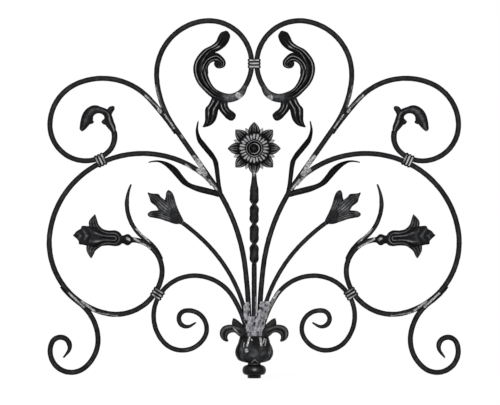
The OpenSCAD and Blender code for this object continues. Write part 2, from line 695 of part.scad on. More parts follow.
base_cup();
base_weld();
centre_stem();
rosette();
crown_collar();
main_stem();  // main_stem_left
mirrored() main_stem();  // main_stem_right
big_scroll();  // big_scroll_left
mirrored() big_scroll();  // big_scroll_right
upper_scroll();  // upper_scroll_left
mirrored() upper_scroll();  // upper_scroll_right
lower_scroll();  // lower_scroll_left
mirrored() lower_scroll();  // lower_scroll_right
tail_scroll();  // tail_scroll_left
mirrored() tail_scroll();  // tail_scroll_right
flower_stem();  // flower_stem_left
mirrored() flower_stem();  // flower_stem_right
tendril();  // tendril_left
mirrored() tendril();  // tendril_right
upper_collar();  // upper_collar_left
mirrored() upper_collar();  // upper_collar_right
lower_collar();  // lower_collar_left
mirrored() lower_collar();  // lower_collar_right
upper_leaf();  // upper_leaf_left
mirrored() upper_leaf();  // upper_leaf_right
lower_leaf();  // lower_leaf_left
mirrored() lower_leaf();  // lower_leaf_right
acanthus_leaf();  // acanthus_leaf_left
mirrored() acanthus_leaf();  // acanthus_leaf_right
scroll_leaf();  // scroll_leaf_left
mirrored() scroll_leaf();  // scroll_leaf_right
tulip();  // tulip_left
mirrored() tulip();  // tulip_right
trumpet();  // trumpet_left
mirrored() trumpet();  // trumpet_right
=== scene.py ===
import math

import bmesh
import bpy
import numpy as np
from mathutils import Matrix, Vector, noise


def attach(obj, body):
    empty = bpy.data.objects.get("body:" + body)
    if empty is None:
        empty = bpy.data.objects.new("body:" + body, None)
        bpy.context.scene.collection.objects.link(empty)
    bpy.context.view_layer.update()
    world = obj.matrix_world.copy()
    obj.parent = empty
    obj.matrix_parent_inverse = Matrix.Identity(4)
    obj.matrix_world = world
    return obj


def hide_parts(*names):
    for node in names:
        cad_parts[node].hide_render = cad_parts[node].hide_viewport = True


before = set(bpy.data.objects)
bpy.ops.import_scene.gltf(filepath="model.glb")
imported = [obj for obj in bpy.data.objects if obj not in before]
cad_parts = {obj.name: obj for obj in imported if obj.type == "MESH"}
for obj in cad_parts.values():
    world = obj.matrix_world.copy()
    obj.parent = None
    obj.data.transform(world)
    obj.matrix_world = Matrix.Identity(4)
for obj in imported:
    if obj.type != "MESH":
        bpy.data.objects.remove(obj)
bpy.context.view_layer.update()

# All making is in millimetres in the panel's own plane: X across, Z up, front towards -Y.
# Every left-hand piece is made once and mirrored for the right, each side with its own hammer marks.
millimetre = 0.001

panel = {
    "cupHeight": 100,     # up to the feet of the bars
    "seat": 0.2,          # gap between pieces that are welded or strapped
    "bar": 12,            # stems, big, upper and tail scrolls
    "stemBar": 10,        # flower stems and tendrils
    "curlBar": 11,        # lower scrolls
    "scarf": 3,           # how far a branch's middle stands off its carrier's
    "hammer": 0.32,       # depth of the hammer marks
    "dent": 11,           # size of the broad hammer marks
    "fineDent": 4.5,      # and of the small ones on them
}


def along(heading):
    a = math.radians(heading)
    return np.array([math.cos(a), math.sin(a)])


def leftOf(heading):
    return along(heading + 90)


def afterBend(place, heading, bend):
    size, turn = bend
    if turn == 0:
        return place + size * along(heading), heading
    swing = math.copysign(size, turn) * (leftOf(heading) - leftOf(heading + turn))
    return place + swing, heading + turn


def bendLength(bend):
    return bend[0] if bend[1] == 0 else bend[0] * abs(math.radians(bend[1]))


def endOf(path):
    place, heading, bends = path
    for bend in bends:
        place, heading = afterBend(place, heading, bend)
    return place, heading


def startOf(place, heading, bends):
    for size, turn in reversed(bends):
        heading -= turn
        place = place - afterBend(np.zeros(2), heading, (size, turn))[0]
    return place, heading


def turnBetween(a, b):
    return (b - a + 540) % 360 - 180


def twoBends(p, hp, q, hq, lead):
    # two arcs that join one place and heading to another; lead is the first one's tangent length
    v, a, b = q - p, along(hp), along(hq)
    reach = (v @ v / 2 - lead * (v @ a)) / (v @ b - lead * (a @ b - 1))
    chord = (q - reach * b) - (p + lead * a)
    first = turnBetween(hp, math.degrees(math.atan2(chord[1], chord[0])))
    second = turnBetween(hp + first, hq)
    return [(lead / math.tan(math.radians(abs(first) / 2)), first),
            (reach / math.tan(math.radians(abs(second) / 2)), second)]


def stations(path, step=2.5):
    # dense rows of (x, z, heading, distance)
    place, heading, bends = path
    rows, run = [], 0
    for size, turn in bends:
        length = bendLength((size, turn))
        count = max(1, math.ceil(length / step))
        for i in range(count):
            part = (size * i / count, 0) if turn == 0 else (size, turn * i / count)
            here = place if i == 0 else afterBend(place, heading, part)[0]
            rows.append((*here, heading + (turn * i / count), run + length * i / count))
        place, heading = afterBend(place, heading, (size, turn))
        run += length
    rows.append((*place, heading, run))
    return np.array(rows)


def atHeading(path, wanted):
    place, heading, bends = path
    for size, turn in bends:
        if wanted <= heading + turn:
            return afterBend(place, heading, (size, wanted - heading))[0]
        place, heading = afterBend(place, heading, (size, turn))
    return place


# Bends are (radius, turn in degrees) with left turns positive, or (length, 0) where straight.
mainStem = {
    "foot": 10,
    "rise": [(1260, 7), (441, 28)],
    "crown": [(232, -30.5), (127, -86)],
    "crownEnd": 101,
    "crownEndTurn": 31,
    "leafGap": 33,
}
bigScroll = {"root": -5, "fan": [(122, 19), (234, 41)], "fanEnd": 227, "belly": [(215, 57), (171, 85)],
             "bellyEnd": 110, "end": [(110, 19), (74, 95)]}
upperScroll = {"root": 144, "lead": 50, "in": [(107, 65), (85, 91), (76, 26)], "end": [(76, 19), (49, 61)]}
lowerScroll = {"start": 100, "lead": 50, "in": [(97, 58)],
               "curl": [(93, 72), (60, 108), (43, 131), (19, 202)], "tip": 14, "drawn": 38}
tailScroll = {"start": 306, "follow": 18, "bends": [(113, -48), (85, -57), (50, -152), (22, -196)],
              "tip": 16, "drawn": 38}
tendril = {"start": 471, "bends": [(103, 34), (103, -60), (109, -20)], "drawn": 44}
flowerStem = {"root": 11, "start": 94, "bends": [(298, 18), (354, 23), (466, 9)]}
collar = {"upperLean": 25, "lowerLean": 58, "length": 23, "thick": 2, "rib": 1.5, "ribs": 3,
          "rows": 49, "around": 72, "squareness": 0.24, "endRounding": 1.2, "creaseAngle": 50}

bar = panel["bar"]
seat = panel["seat"]
stemFrom = np.array([-(bar + seat), panel["cupHeight"]])
rise = [(mainStem["foot"], 0)] + mainStem["rise"]
lean = 90 + sum(t for r, t in mainStem["rise"])
loopTurn = -(90 + lean + sum(t for r, t in mainStem["crown"]))
loop = mainStem["crown"] + [(mainStem["crownEnd"], loopTurn)]
loopEnd = endOf((stemFrom, 90, rise + loop))[0]
straight = (-(bar + seat) / 2 - loopEnd[0]) / math.cos(math.radians(lean))
crownPlace = endOf((stemFrom, 90, rise + [(straight, 0)] + loop))[0]
mainPath = (stemFrom, 90, rise + [(straight, 0)] + loop
            + [(mainStem["crownEnd"], -mainStem["crownEndTurn"])])
straightFrom = endOf((stemFrom, 90, rise))[0]

bigFrom = straightFrom + bigScroll["root"] * along(lean) + panel["scarf"] * leftOf(lean)
fanTurn = sum(t for r, t in bigScroll["fan"])
bigFan = bigScroll["fan"] + [(bigScroll["fanEnd"], 180 + collar["upperLean"] - lean - fanTurn)]
bellyTurn = sum(t for r, t in bigScroll["belly"])
bigBelly = bigScroll["belly"] + [
    (bigScroll["bellyEnd"], 180 + collar["lowerLean"] - collar["upperLean"] - bellyTurn)]
bigPath = (bigFrom, lean, bigFan + bigBelly + bigScroll["end"])
upperTouch = endOf((bigFrom, lean, bigFan))[0]
lowerTouch = endOf((bigFrom, lean, bigFan + bigBelly))[0]

upperFrom = straightFrom + upperScroll["root"] * along(lean) + panel["scarf"] * leftOf(lean)
upperHold = upperTouch - (bar + seat) * leftOf(180 + collar["upperLean"])
side = startOf(upperHold, 360 + collar["upperLean"], upperScroll["in"])
upperPath = (upperFrom, lean, twoBends(upperFrom, lean, *side, upperScroll["lead"])
             + upperScroll["in"] + upperScroll["end"])

lowerFrom = stemFrom - np.array([panel["scarf"], 0])
lowerHold = lowerTouch - ((bar + panel["curlBar"]) / 2 + seat) * leftOf(collar["lowerLean"])
side = startOf(lowerHold, 180 + collar["lowerLean"], lowerScroll["in"])
lowerPath = (lowerFrom, lowerScroll["start"],
             twoBends(lowerFrom, lowerScroll["start"], *side, lowerScroll["lead"])
             + lowerScroll["in"] + lowerScroll["curl"] + [(lowerScroll["tip"], 0)])

tailPath = (atHeading(bigPath, tailScroll["start"]) - panel["scarf"] * leftOf(tailScroll["start"]),
            tailScroll["start"], [(bigScroll["belly"][1][0] + panel["scarf"], tailScroll["follow"])]
            + tailScroll["bends"] + [(tailScroll["tip"], 0)])
tendrilPath = (atHeading(bigPath, tendril["start"]) - panel["scarf"] * leftOf(tendril["start"]),
               tendril["start"], tendril["bends"])
flowerPath = (stemFrom + np.array([-panel["scarf"], flowerStem["root"]]), flowerStem["start"],
              flowerStem["bends"])
leafRow = stations(mainPath, 1)
leafFrom = leafRow[np.searchsorted(leafRow[:, 3], sum(bendLength(b) for b in rise) - mainStem["leafGap"]), :2]
print("bending schedules laid out")


def newPiece():
    return {"points": [], "faces": [], "wearAndShading": [], "count": 0}


def addShell(piece, points, faces, wearAndShading):
    piece["faces"] += [[v + piece["count"] for v in face] for face in faces]
    piece["points"].append(np.asarray(points, float))
    piece["wearAndShading"].append(np.clip(np.asarray(wearAndShading, float), 0, 1))
    piece["count"] += len(points)


def tubeFaces(rings, around, leaf=False):
    faces = []
    for i in range(rings - 1):
        for j in range(around):
            n = (j + 1) % around
            faces.append([i * around + j, i * around + n, (i + 1) * around + n, (i + 1) * around + j])
    last = (rings - 1) * around
    if leaf:        # the front row and back row of a leaf are closed between them
        half = around // 2
        for start in (0, last):
            for j in range(half - 1):
                faces.append([start + j, start + j + 1, start + around - 2 - j, start + around - 1 - j])
    else:
        faces.append(list(range(around))[::-1])
        faces.append([last + j for j in range(around)])
    return faces


def grain(points, size, seed=0):
    # soft lumps of about this size, between -1 and 1
    shift = Vector((seed * 7.31, seed * 3.17, seed * 5.93))
    return np.array([noise.noise(Vector(p) / size + shift) for p in points]) * 1.6


def smooth(at, rows, places):
    # a smooth line through rows of values given at rising places
    at, rows, places = np.asarray(at, float), np.asarray(rows, float), np.asarray(places, float)
    slope = np.gradient(rows, places, axis=0)
    i = np.clip(np.searchsorted(places, at, side="right") - 1, 0, len(places) - 2)
    h = (places[i + 1] - places[i])[:, None]
    s = ((at - places[i])[:, None]) / h
    return ((2 * s**3 - 3 * s**2 + 1) * rows[i] + (s**3 - 2 * s**2 + s) * h * slope[i]
            + (3 * s**2 - 2 * s**3) * rows[i + 1] + (s**3 - s**2) * h * slope[i + 1])


def fade(t, a, b):
    s = np.clip((t - a) / (b - a), 0, 1)
    return s * s * (3 - 2 * s)


def crest(u, middle, width):
    return np.exp(-((u - middle) / width) ** 2)


def ridges(u, *rows):
    # ridges and grooves side by side: rows of (height, middle, width)
    return sum(height * crest(u, middle, width) for height, middle, width in rows)


def squareRing(corner=0.17, bulge=0.02, sideShade=0.7):
    # (across, through, wear and painted shade) round a square bar with hammered-off corners, both within -1
    # to 1; each face is painted darker towards its edges, and the two side faces darker still
    edge = 1 - corner
    flat = [(-edge, 0.06), (-edge * 0.8, 0.30), (-0.4, 0.50), (0, 0.62), (0.4, 0.50), (edge * 0.8, 0.30),
            (edge, 0.06)]
    ring = [(u, -1 - bulge * (1 - u * u), r) for u, r in flat]
    ring += [(1 + bulge * (1 - u * u), u, r * sideShade) for u, r in flat]
    ring += [(-u, 1 + bulge * (1 - u * u), r) for u, r in flat]
    ring += [(-1 - bulge * (1 - u * u), -u, r * sideShade) for u, r in flat]
    return np.array(ring)


barRing = squareRing()


def keepOff(places, carrier, half, sign, reach=190):
    # moves the root of a branch out to the face of the bar that carries it; reach is how long a root can be
    near = carrier[np.hypot(*(carrier[:, :2] - places[0]).T) < reach]
    for k in range(len(places)):
        gap = places[k] - near[:, :2]
        i = np.argmin(gap[:, 0] ** 2 + gap[:, 1] ** 2)
        if 0 < i < len(near) - 1 or (gap[i] ** 2).sum() < half**2:
            out = leftOf(near[i, 2])
            off = gap[i] @ out
            if abs(off) < half:
                places[k] = places[k] + (sign * half - off) * out
    return places


def addBar(piece, path, width, seed, drawn, keep, swell, tipWidth=3.6, tipDepth=4.8):
    # drawn: length that tapers to the tip; keep: (path, half width, side) of each carrier it stays off;
    # swell: (distance from the end, length, extra width) of each thicker place
    rows = stations(path)
    run = rows[-1, 3]
    wide = np.full(len(rows), width / 2.0)
    deep = np.full(len(rows), width / 2.0)
    if drawn:
        share = np.clip((rows[:, 3] - run + drawn) / drawn, 0, 1)
        wide = wide + (tipWidth / 2 - wide) * share
        deep = deep + (tipDepth / 2 - deep) * share
    for where, length, more in swell:
        wide = wide + more / 2 * (1 - fade(np.abs(run - rows[:, 3] - where), 0, length))
    points, wearAndShading = [], []
    for (x, z, heading, _), w, d in zip(rows, wide, deep):
        out = leftOf(heading)
        for across, through, shade in barRing:
            points.append((x + out[0] * across * w, through * d, z + out[1] * across * w))
            wearAndShading.append(shade)
    points, wearAndShading = np.array(points), np.array(wearAndShading)
    marks = grain(points, panel["dent"], seed) * 0.6 + grain(points, panel["fineDent"], seed + 40) * 0.4
    ring = np.tile(barRing[:, :2], (len(rows), 1))
    outs = np.repeat(np.array([leftOf(h) for h in rows[:, 2]]), len(barRing), axis=0)
    lift = panel["hammer"] * marks
    points[:, 0] += outs[:, 0] * ring[:, 0] * lift
    points[:, 2] += outs[:, 1] * ring[:, 0] * lift
    points[:, 1] += ring[:, 1] * lift
    # painted lighter where the hammer marks stand proud and darker in the dents
    wearAndShading = wearAndShading + 0.16 * marks
    for carrier, half, sign in keep:
        flat = keepOff(points[:, [0, 2]].copy(), stations(carrier, 1), half + seat, sign)
        points[:, 0], points[:, 2] = flat[:, 0], flat[:, 1]
    addShell(piece, points, tubeFaces(len(rows), len(barRing)), wearAndShading)


def addPetal(piece, root, rungs, depths, relief=None, across=26, step=1.6, seed=0, base=0.36, gain=0.2,
             back=0.75, rim=0.34, edgeShade=0.3, front=0.0, tone=None):
    # a leaf lofted over rungs, each [x, z] of one edge and [x, z] of the other, counted from its root;
    # depths are (share of its length, thickness); relief and tone take u across and t along the leaf
    rungs = np.asarray(rungs, float) + np.tile(root, 2)
    middle = (rungs[:, :2] + rungs[:, 2:]) / 2
    places = np.concatenate([[0], np.cumsum(np.hypot(*np.diff(middle, axis=0).T))])
    at = np.linspace(0, places[-1], max(3, math.ceil(places[-1] / step) + 1))
    rows = smooth(at, rungs, places)
    t = (at / places[-1])[:, None]
    u = np.cos(np.linspace(0, math.pi, across + 1))[None, :]
    half = np.interp(t, [d[0] for d in depths], [d[1] for d in depths]) / 2
    dome = (1 - np.abs(u) ** 2.6) ** 0.5
    lift = np.zeros((len(at), across + 1)) if relief is None else relief(u + 0 * t, t + 0 * u)
    lift = lift * np.minimum(1, half / 3)
    x = (rows[:, 0:1] + rows[:, 2:3]) / 2 + u * (rows[:, 0:1] - rows[:, 2:3]) / 2
    z = (rows[:, 1:2] + rows[:, 3:4]) / 2 + u * (rows[:, 1:2] - rows[:, 3:4]) / 2
    body = half * (rim + (1 - rim) * dome)
    yFront = -(body + lift * (1 - u**8)) - front
    yBack = body * back + 0.4 * lift * (1 - u**8) - front
    points = np.stack([np.concatenate([x, x[:, ::-1]], 1), np.concatenate([yFront, yBack[:, ::-1]], 1),
                       np.concatenate([z, z[:, ::-1]], 1)], axis=2).reshape(-1, 3)
    # painted light: ridges lighter and hollows darker with the relief, the edges painted darker and the back
    # a fifth darker
    shade = base + gain * lift - edgeShade * np.abs(u) ** 6
    if tone is not None:
        shade = shade + tone(u + 0 * t, t + 0 * u)
    shade = np.concatenate([shade, shade[:, ::-1] * 0.8], 1).reshape(-1)
    marks = grain(points, 6, seed)
    points[:, 1] += 0.16 * marks
    addShell(piece, points, tubeFaces(len(at), 2 * (across + 1), leaf=True), shade + 0.08 * marks)


def addStack(piece, rows, seed, hammer=0.25):
    # bar that stands up: rows of (height, width, depth, turn, set back, painted highlight on its corners)
    points, wearAndShading = [], []
    for z, wide, deep, turn, back, highlight in rows:
        c, s = math.cos(math.radians(turn)), math.sin(math.radians(turn))
        for across, through, shade in barRing:
            x, y = across * wide / 2, through * deep / 2
            points.append((x * c - y * s, x * s + y * c + back, z))
            corner = min(abs(across), abs(through)) > 0.78
            wearAndShading.append(shade + highlight * (1.6 if corner else 0.2))
    points, wearAndShading = np.array(points), np.array(wearAndShading)
    marks = grain(points, 8, seed)
    points[:, :2] *= 1 + (hammer * marks / 8)[:, None]
    # painted lighter where the hammer marks stand proud and darker in the dents
    addShell(piece, points, tubeFaces(len(rows), len(barRing)), wearAndShading + 0.12 * marks)


def addTurned(piece, profile, relief=None, around=96, gain=0.2, seed=0, lumps=0.2, middle=(0, 0, 0),
              upright=True, tone=None):
    # turned shape: rows of (height, radius, wear and painted light); relief gives extra radius at an angle
    # and height, and paints the colour lighter where it stands out and darker where it sinks
    profile = np.asarray(profile, float)
    angle = np.linspace(0, 2 * math.pi, around, endpoint=False)
    points, wearAndShading = [], []
    for h, r, shade in profile:
        more = np.zeros(around) if relief is None else relief(angle, h, r)
        c, s = (r + more) * np.cos(angle), (r + more) * np.sin(angle)
        level = np.full(around, h)
        points.append(np.stack([c, s, level] if upright else [c, -level, s], 1))
        wearAndShading.append(shade + gain * more)
    points, wearAndShading = np.concatenate(points), np.concatenate(wearAndShading)
    if tone is not None:
        wearAndShading = wearAndShading + tone(points)
    marks = grain(points, 7, seed)
    points[:, 1] += lumps * marks
    addShell(piece, points + np.array(middle), tubeFaces(len(profile), around), wearAndShading + 0.08 * marks)


def addKnob(piece, x, z, radius, reach, wearAndShading):
    # low round boss that stands forward
    rows = [(reach * math.sin(a), max(0.05, radius * math.cos(a)), wearAndShading) for a in np.linspace(-1.2, 1.5, 16)]
    addTurned(piece, rows, around=36, middle=(x, 0, z), upright=False, lumps=0)


# Colours run from painted shade deep in the hollows and along edges, through the skin of scale, to ridges
# that are worn and carry painted highlights.
finishes = {
    "bar": {"deep": (0.0015, 0.0015, 0.0018), "skin": (0.0105, 0.011, 0.0128), "wornAndLit": (0.10, 0.102, 0.11),
            "rough": 0.46, "gloss": 0.08, "bump": 0.5, "speck": 900},
    "leafwork": {"deep": (0.0005, 0.0005, 0.0007), "skin": (0.024, 0.0247, 0.028),
                 "wornAndLit": (0.46, 0.462, 0.47), "rough": 0.42, "gloss": 0.07, "bump": 0.4, "speck": 700},
    "collar": {"deep": (0.001, 0.001, 0.001), "skin": (0.07, 0.07, 0.072), "wornAndLit": (0.60, 0.60, 0.605),
               "rough": 0.44, "gloss": 0.08, "bump": 0.5, "speck": 900},
    "cup": {"deep": (0.0004, 0.0004, 0.0005), "skin": (0.026, 0.027, 0.029), "wornAndLit": (0.42, 0.422, 0.43),
            "rough": 0.34, "gloss": 0.1, "bump": 0.4, "speck": 500},
    "weld": {"deep": (0.02, 0.02, 0.023), "skin": (0.28, 0.28, 0.305), "wornAndLit": (0.60, 0.60, 0.635),
             "rough": 0.5, "gloss": 0.2, "bump": 1.0, "speck": 420},
}
weather = {
    "patch": 55, "patchShare": 0.45, "speckShare": 0.28, "streak": 260,
    "bandPlaces": (0.0, 0.2, 0.42, 0.64, 0.9), "darkSkin": 0.35, "greyShare": 0.28,
    "groundBand": [(0.36, (0.13, 0.13, 0.135)), (0.5, (0.34, 0.34, 0.35)), (0.64, (0.72, 0.72, 0.71))],
    "groundMetal": 0.35, "groundPolish": 0.08, "roughSpread": 0.24, "bumpHeight": 0.0006,
}


def emptyTree(owner):
    owner.use_nodes = True
    owner.node_tree.nodes.clear()
    return owner.node_tree


def addNode(tree, kind, **values):
    node = tree.nodes.new(kind)
    for name, value in values.items():
        node.inputs[name].default_value = value
    return node


def addMaths(tree, kind, a, b, clamp=False):
    node = tree.nodes.new("ShaderNodeMath")
    node.operation = kind
    node.use_clamp = clamp
    for socket, value in zip(node.inputs, (a, b)):
        if isinstance(value, (int, float)):
            socket.default_value = value
        else:
            tree.links.new(value, socket)
    return node.outputs[0]


def addRamp(tree, value, stops):
    node = tree.nodes.new("ShaderNodeValToRGB")
    band = node.color_ramp
    while len(band.elements) < len(stops):
        band.elements.new(0.5)
    for element, (position, colour) in zip(band.elements, stops):
        element.position = position
        element.color = (*colour, 1)
    tree.links.new(value, node.inputs[0])
    return node.outputs[0]


def makeFinish(name, look):
    mat = bpy.data.materials.new(name)
    tree = emptyTree(mat)
    links = tree.links
    out = addNode(tree, "ShaderNodeOutputMaterial")
    shader = addNode(tree, "ShaderNodeBsdfPrincipled")
    links.new(shader.outputs[0], out.inputs[0])
    place = addNode(tree, "ShaderNodeTexCoord")

    def cloud(scale, detail, rough=0.55):
        node = addNode(tree, "ShaderNodeTexNoise", Scale=scale, Detail=detail, Roughness=rough)
        links.new(place.outputs["Object"], node.inputs["Vector"])
        return node.outputs["Fac"]

    def maths(kind, a, b, clamp=False):
        return addMaths(tree, kind, a, b, clamp)

    def attribute(name):
        node = addNode(tree, "ShaderNodeAttribute")
        node.attribute_name = name
        return node.outputs["Fac"]

    speck = cloud(look["speck"], 3)
    patch = cloud(weather["patch"], 4, 0.6)
    streak = cloud(weather["streak"], 5, 0.7)
    # wear and painted light: 0 is painted shade in hollows and along edges, 1 is ridges worn bright with
    # painted highlights
    wearAndShading = attribute("wearAndShading")
    wearAndShading = maths("ADD", wearAndShading, maths("MULTIPLY", maths("SUBTRACT", patch, 0.5), weather["patchShare"]))
    wearAndShading = maths("ADD", wearAndShading, maths("MULTIPLY", maths("SUBTRACT", speck, 0.5), weather["speckShare"]), True)
    share = weather["greyShare"]
    grey = tuple((s + w * share) / (1 + share) for s, w in zip(look["skin"], look["wornAndLit"]))
    dark = tuple(c * weather["darkSkin"] for c in look["skin"])
    colours = (look["deep"], dark, look["skin"], grey, look["wornAndLit"])
    skin = addRamp(tree, wearAndShading, list(zip(weather["bandPlaces"], colours)))
    # bright runs from 0 to 1 where a weld was ground
    bright = maths("MULTIPLY", attribute("bright"), maths("ADD", maths("MULTIPLY", streak, 1.3), 0.4))
    bright = maths("MULTIPLY", maths("SUBTRACT", bright, 0.3), 2.0, True)
    ground = addRamp(tree, streak, weather["groundBand"])
    mix = addNode(tree, "ShaderNodeMix")
    mix.data_type = "RGBA"
    links.new(bright, mix.inputs["Factor"])
    links.new(skin, mix.inputs["A"])
    links.new(ground, mix.inputs["B"])
    links.new(mix.outputs["Result"], shader.inputs["Base Color"])
    links.new(maths("MULTIPLY", bright, weather["groundMetal"]), shader.inputs["Metallic"])
    spread = weather["roughSpread"]
    rough = maths("ADD", look["rough"] - spread / 2, maths("MULTIPLY", patch, spread))
    polish = maths("MULTIPLY", bright, weather["groundPolish"])
    links.new(maths("SUBTRACT", rough, polish, True), shader.inputs["Roughness"])
    shader.inputs["Specular IOR Level"].default_value = look["gloss"]
    height = maths("ADD", maths("MULTIPLY", speck, 0.5), maths("ADD", maths("MULTIPLY", streak, 0.7), patch))
    bump = addNode(tree, "ShaderNodeBump", Strength=look["bump"], Distance=weather["bumpHeight"])
    links.new(height, bump.inputs["Height"])
    links.new(bump.outputs[0], shader.inputs["Normal"])
    return mat


materials = {name: makeFinish(name + "Iron", look) for name, look in finishes.items()}
print("finishes made")

# Ground welds, (x, z, x, z, radius, strength). Those of the right side are written as if on the left.
groundBoth = [
    (-106, 468, -88, 445, 2.6, 0.75), (-437, 201, -402, 168, 2.4, 0.9), (-375, 156, -322, 147, 1.8, 0.6),
    (-283, 329, -246, 307, 2.6, 0.8), (-279, 353, -246, 320, 2, 0.7), (-299, 330, -295, 327, 3.4, 0.75),
    (-232, 690, -219, 640, 3, 0.45),
]
groundLeft = groundBoth + [
    (-225, 634, -221, 629, 4, 0.9), (-211, 622, -189, 590, 1.9, 0.9), (-258, 668, -226, 638, 2.4, 0.6),
    (-172, 573, -168, 567, 3, 0.5), (-142, 524, -131, 512, 3.5, 0.75), (-133, 513, -116, 482, 6, 0.78),
    (-131, 491, -127, 487, 5, 1.1), (-161, 503, -150, 493, 3, 0.9), (-122, 480, -103, 452, 6, 0.5),
    (-406, 181, -377, 159, 2.6, 0.9), (-38, 668, -33, 664, 6, 1.1), (-8, 741, -6, 735, 5, 0.7),
]
groundRight = groundBoth + [
    (-225, 634, -221, 629, 3, 0.7), (-211, 622, -189, 590, 1.9, 0.75), (-258, 668, -226, 638, 2.2, 0.7),
    (-142, 524, -131, 512, 3.5, 0.9), (-133, 513, -116, 482, 6, 0.8), (-131, 491, -127, 487, 4, 0.8),
    (-122, 480, -103, 452, 6, 0.6), (-406, 181, -377, 159, 2.6, 0.8), (-38, 662, -33, 659, 6, 1.0),
    (-59, 206, -47, 190, 2, 1.3), (-49, 192, -33, 160, 4.5, 0.55), (-33, 160, -29, 140, 4, 0.45),
]
groundMiddle = [
    (4.6, 148, 4.6, 190, 2.6, 0.6), (0, 478, 1, 484, 3, 0.7), (-11, 97, -17, 77, 1.7, 1.3),
    (-18.5, 68, -18, 65, 3.4, 1.2), (-24, 84, -25, 74, 1.3, 0.9), (14.5, 95, 17, 78, 2.2, 1.4),
    (24, 94, 21, 84, 1.4, 1.1), (28, 92, 25.5, 78, 1.1, 0.9), (-50, 119.6, -41.5, 112, 1.3, 0.9),
    (-41.5, 112, -37, 106, 1.2, 0.6), (-6, 92, -5, 90, 1.5, 0.9),
]


def brightness(points, marks):
    # full on the front face, a quarter of it on the back
    total = np.zeros(len(points))
    for x1, z1, x2, z2, radius, strength in marks:
        a, b = np.array([x1, z1]), np.array([x2, z2])
        p = points[:, [0, 2]]
        s = np.clip(((p - a) @ (b - a)) / max(1e-6, (b - a) @ (b - a)), 0, 1)[:, None]
        gap = np.hypot(*(p - a - s * (b - a)).T)
        total = np.maximum(total, strength * (1 - fade(gap, radius * 0.5, radius * 1.6)))
    front = np.clip(0.75 - points[:, 1] / 8, 0.25, 1)
    return total * front


def finishPiece(name, node, slot, piece, mirror=False, marks=(), angle=32):
    points = np.concatenate(piece["points"])
    bright = brightness(points, marks)
    if mirror:
        points = points * np.array([-1, 1, 1])
    mesh = bpy.data.meshes.new(name)
    mesh.from_pydata((points * millimetre).tolist(), [], piece["faces"])
    for label, values in (("wearAndShading", np.concatenate(piece["wearAndShading"])), ("bright", bright)):
        layer = mesh.attributes.new(label, "FLOAT", "POINT")
        layer.data.foreach_set("value", np.asarray(values, np.float32))
    work = bmesh.new()
    work.from_mesh(mesh)
    bmesh.ops.recalc_face_normals(work, faces=work.faces)
    work.to_mesh(mesh)
    work.free()
    mesh.polygons.foreach_set("use_smooth", [True] * len(mesh.polygons))
    mesh.set_sharp_from_angle(angle=math.radians(angle))
    mesh.materials.append(materials[slot])
    obj = bpy.data.objects.new(name, mesh)
    bpy.context.scene.collection.objects.link(obj)
    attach(obj, "root")
    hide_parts(node)


def bothSides(name, slot, make, angle=32):
    for word, mirror, marks, seed in (("left", False, groundLeft, 1), ("right", True, groundRight, 51)):
        piece = newPiece()
        make(piece, seed)
        finishPiece(f"{name}_{word}_shape", f"{name}_{word}", slot, piece, mirror, marks, angle)


offMain = (mainPath, bar / 2, 1)
offBig = (bigPath, bar / 2, -1)
offFlower = (flowerPath, panel["stemBar"] / 2, 1)
upperSwell = (0, 60, 1.6)
bentBars = [
    ("main_stem", mainPath, bar, 0, 0, [], []),
    ("big_scroll", bigPath, bar, 3, 0, [offMain], []),
    ("upper_scroll", upperPath, bar, 5, 0, [offMain], [upperSwell]),
    ("flower_stem", flowerPath, panel["stemBar"], 7, 0, [offMain], []),
    ("lower_scroll", lowerPath, panel["curlBar"], 9, lowerScroll["drawn"], [offMain, offFlower], []),
    ("tail_scroll", tailPath, bar, 11, tailScroll["drawn"], [offBig], []),
    ("tendril", tendrilPath, panel["stemBar"], 13, tendril["drawn"], [offBig], []),
]
for name, path, width, own, drawn, keep, swell in bentBars:
    bothSides(name, "bar", lambda piece, seed: addBar(piece, path, width, seed + own, drawn, keep, swell))
print("bars bent")


def addCollar(piece, place, lean, width, seed):
    # strap of rounded ribs round two bars; width runs across the pair
    length, ribs, around, square = collar["length"], collar["ribs"], collar["around"], collar["squareness"]
    at = np.linspace(-length / 2, length / 2, collar["rows"])
    angle = np.linspace(0, 2 * math.pi, around, endpoint=False)
    c, w = np.cos(angle), np.sin(angle)
    points, wearAndShading = [], []
    for s in at:
        phase = abs(math.sin(math.pi * (s / length + 0.5) * ribs))
        end = max(0, min(1, (length / 2 - abs(s)) / collar["endRounding"])) ** 0.5
        grow = collar["thick"] * 0.55 * end + collar["rib"] * 1.6 * phase ** 0.6
        across = np.sign(c) * np.abs(c) ** square
        through = np.sign(w) * np.abs(w) ** square * (bar / 2 + grow)
        # painted highlight on the rib crests, fading out towards the sides and half as strong on the back;
        # the random wear below varies it
        flat = 1 - fade(np.abs(across), 0.66, 0.86)
        highlight = float(fade(phase, 0.5, 0.86)) * flat * np.where(through < 0, 1, 0.5)
        for p, y, r in zip(across * (width / 2 + grow), through, highlight):
            q = place + s * along(lean) + p * leftOf(lean)
            points.append((q[0], y, q[1]))
            wearAndShading.append(r)
    points, wearAndShading = np.array(points), np.array(wearAndShading)
    marks = grain(points, 5, seed)
    points[:, 1] += 0.2 * marks
    wear = 0.72 + 0.4 * grain(points, 9, seed + 3)
    addShell(piece, points, tubeFaces(len(at), around), 0.04 + 1.1 * wearAndShading * wear)


strapped = [
    ("upper_collar", (upperTouch + upperHold) / 2, collar["upperLean"], 2 * bar + seat, 15),
    ("lower_collar", (lowerTouch + lowerHold) / 2, collar["lowerLean"], bar + panel["curlBar"] + seat, 17),
]
for name, place, tilt, width, own in strapped:
    bothSides(name, "collar", lambda piece, seed: addCollar(piece, place, tilt, width, seed + own),
              collar["creaseAngle"])
crown = newPiece()
addCollar(crown, np.array([0, crownPlace[1]]), 90, 2 * bar + seat, 19)
finishPiece("crown_collar_shape", "crown_collar", "collar", crown, angle=collar["creaseAngle"])
print("collars strapped")

leafCrease = 40     # edges sharper than this stay sharp on leaves and flowers

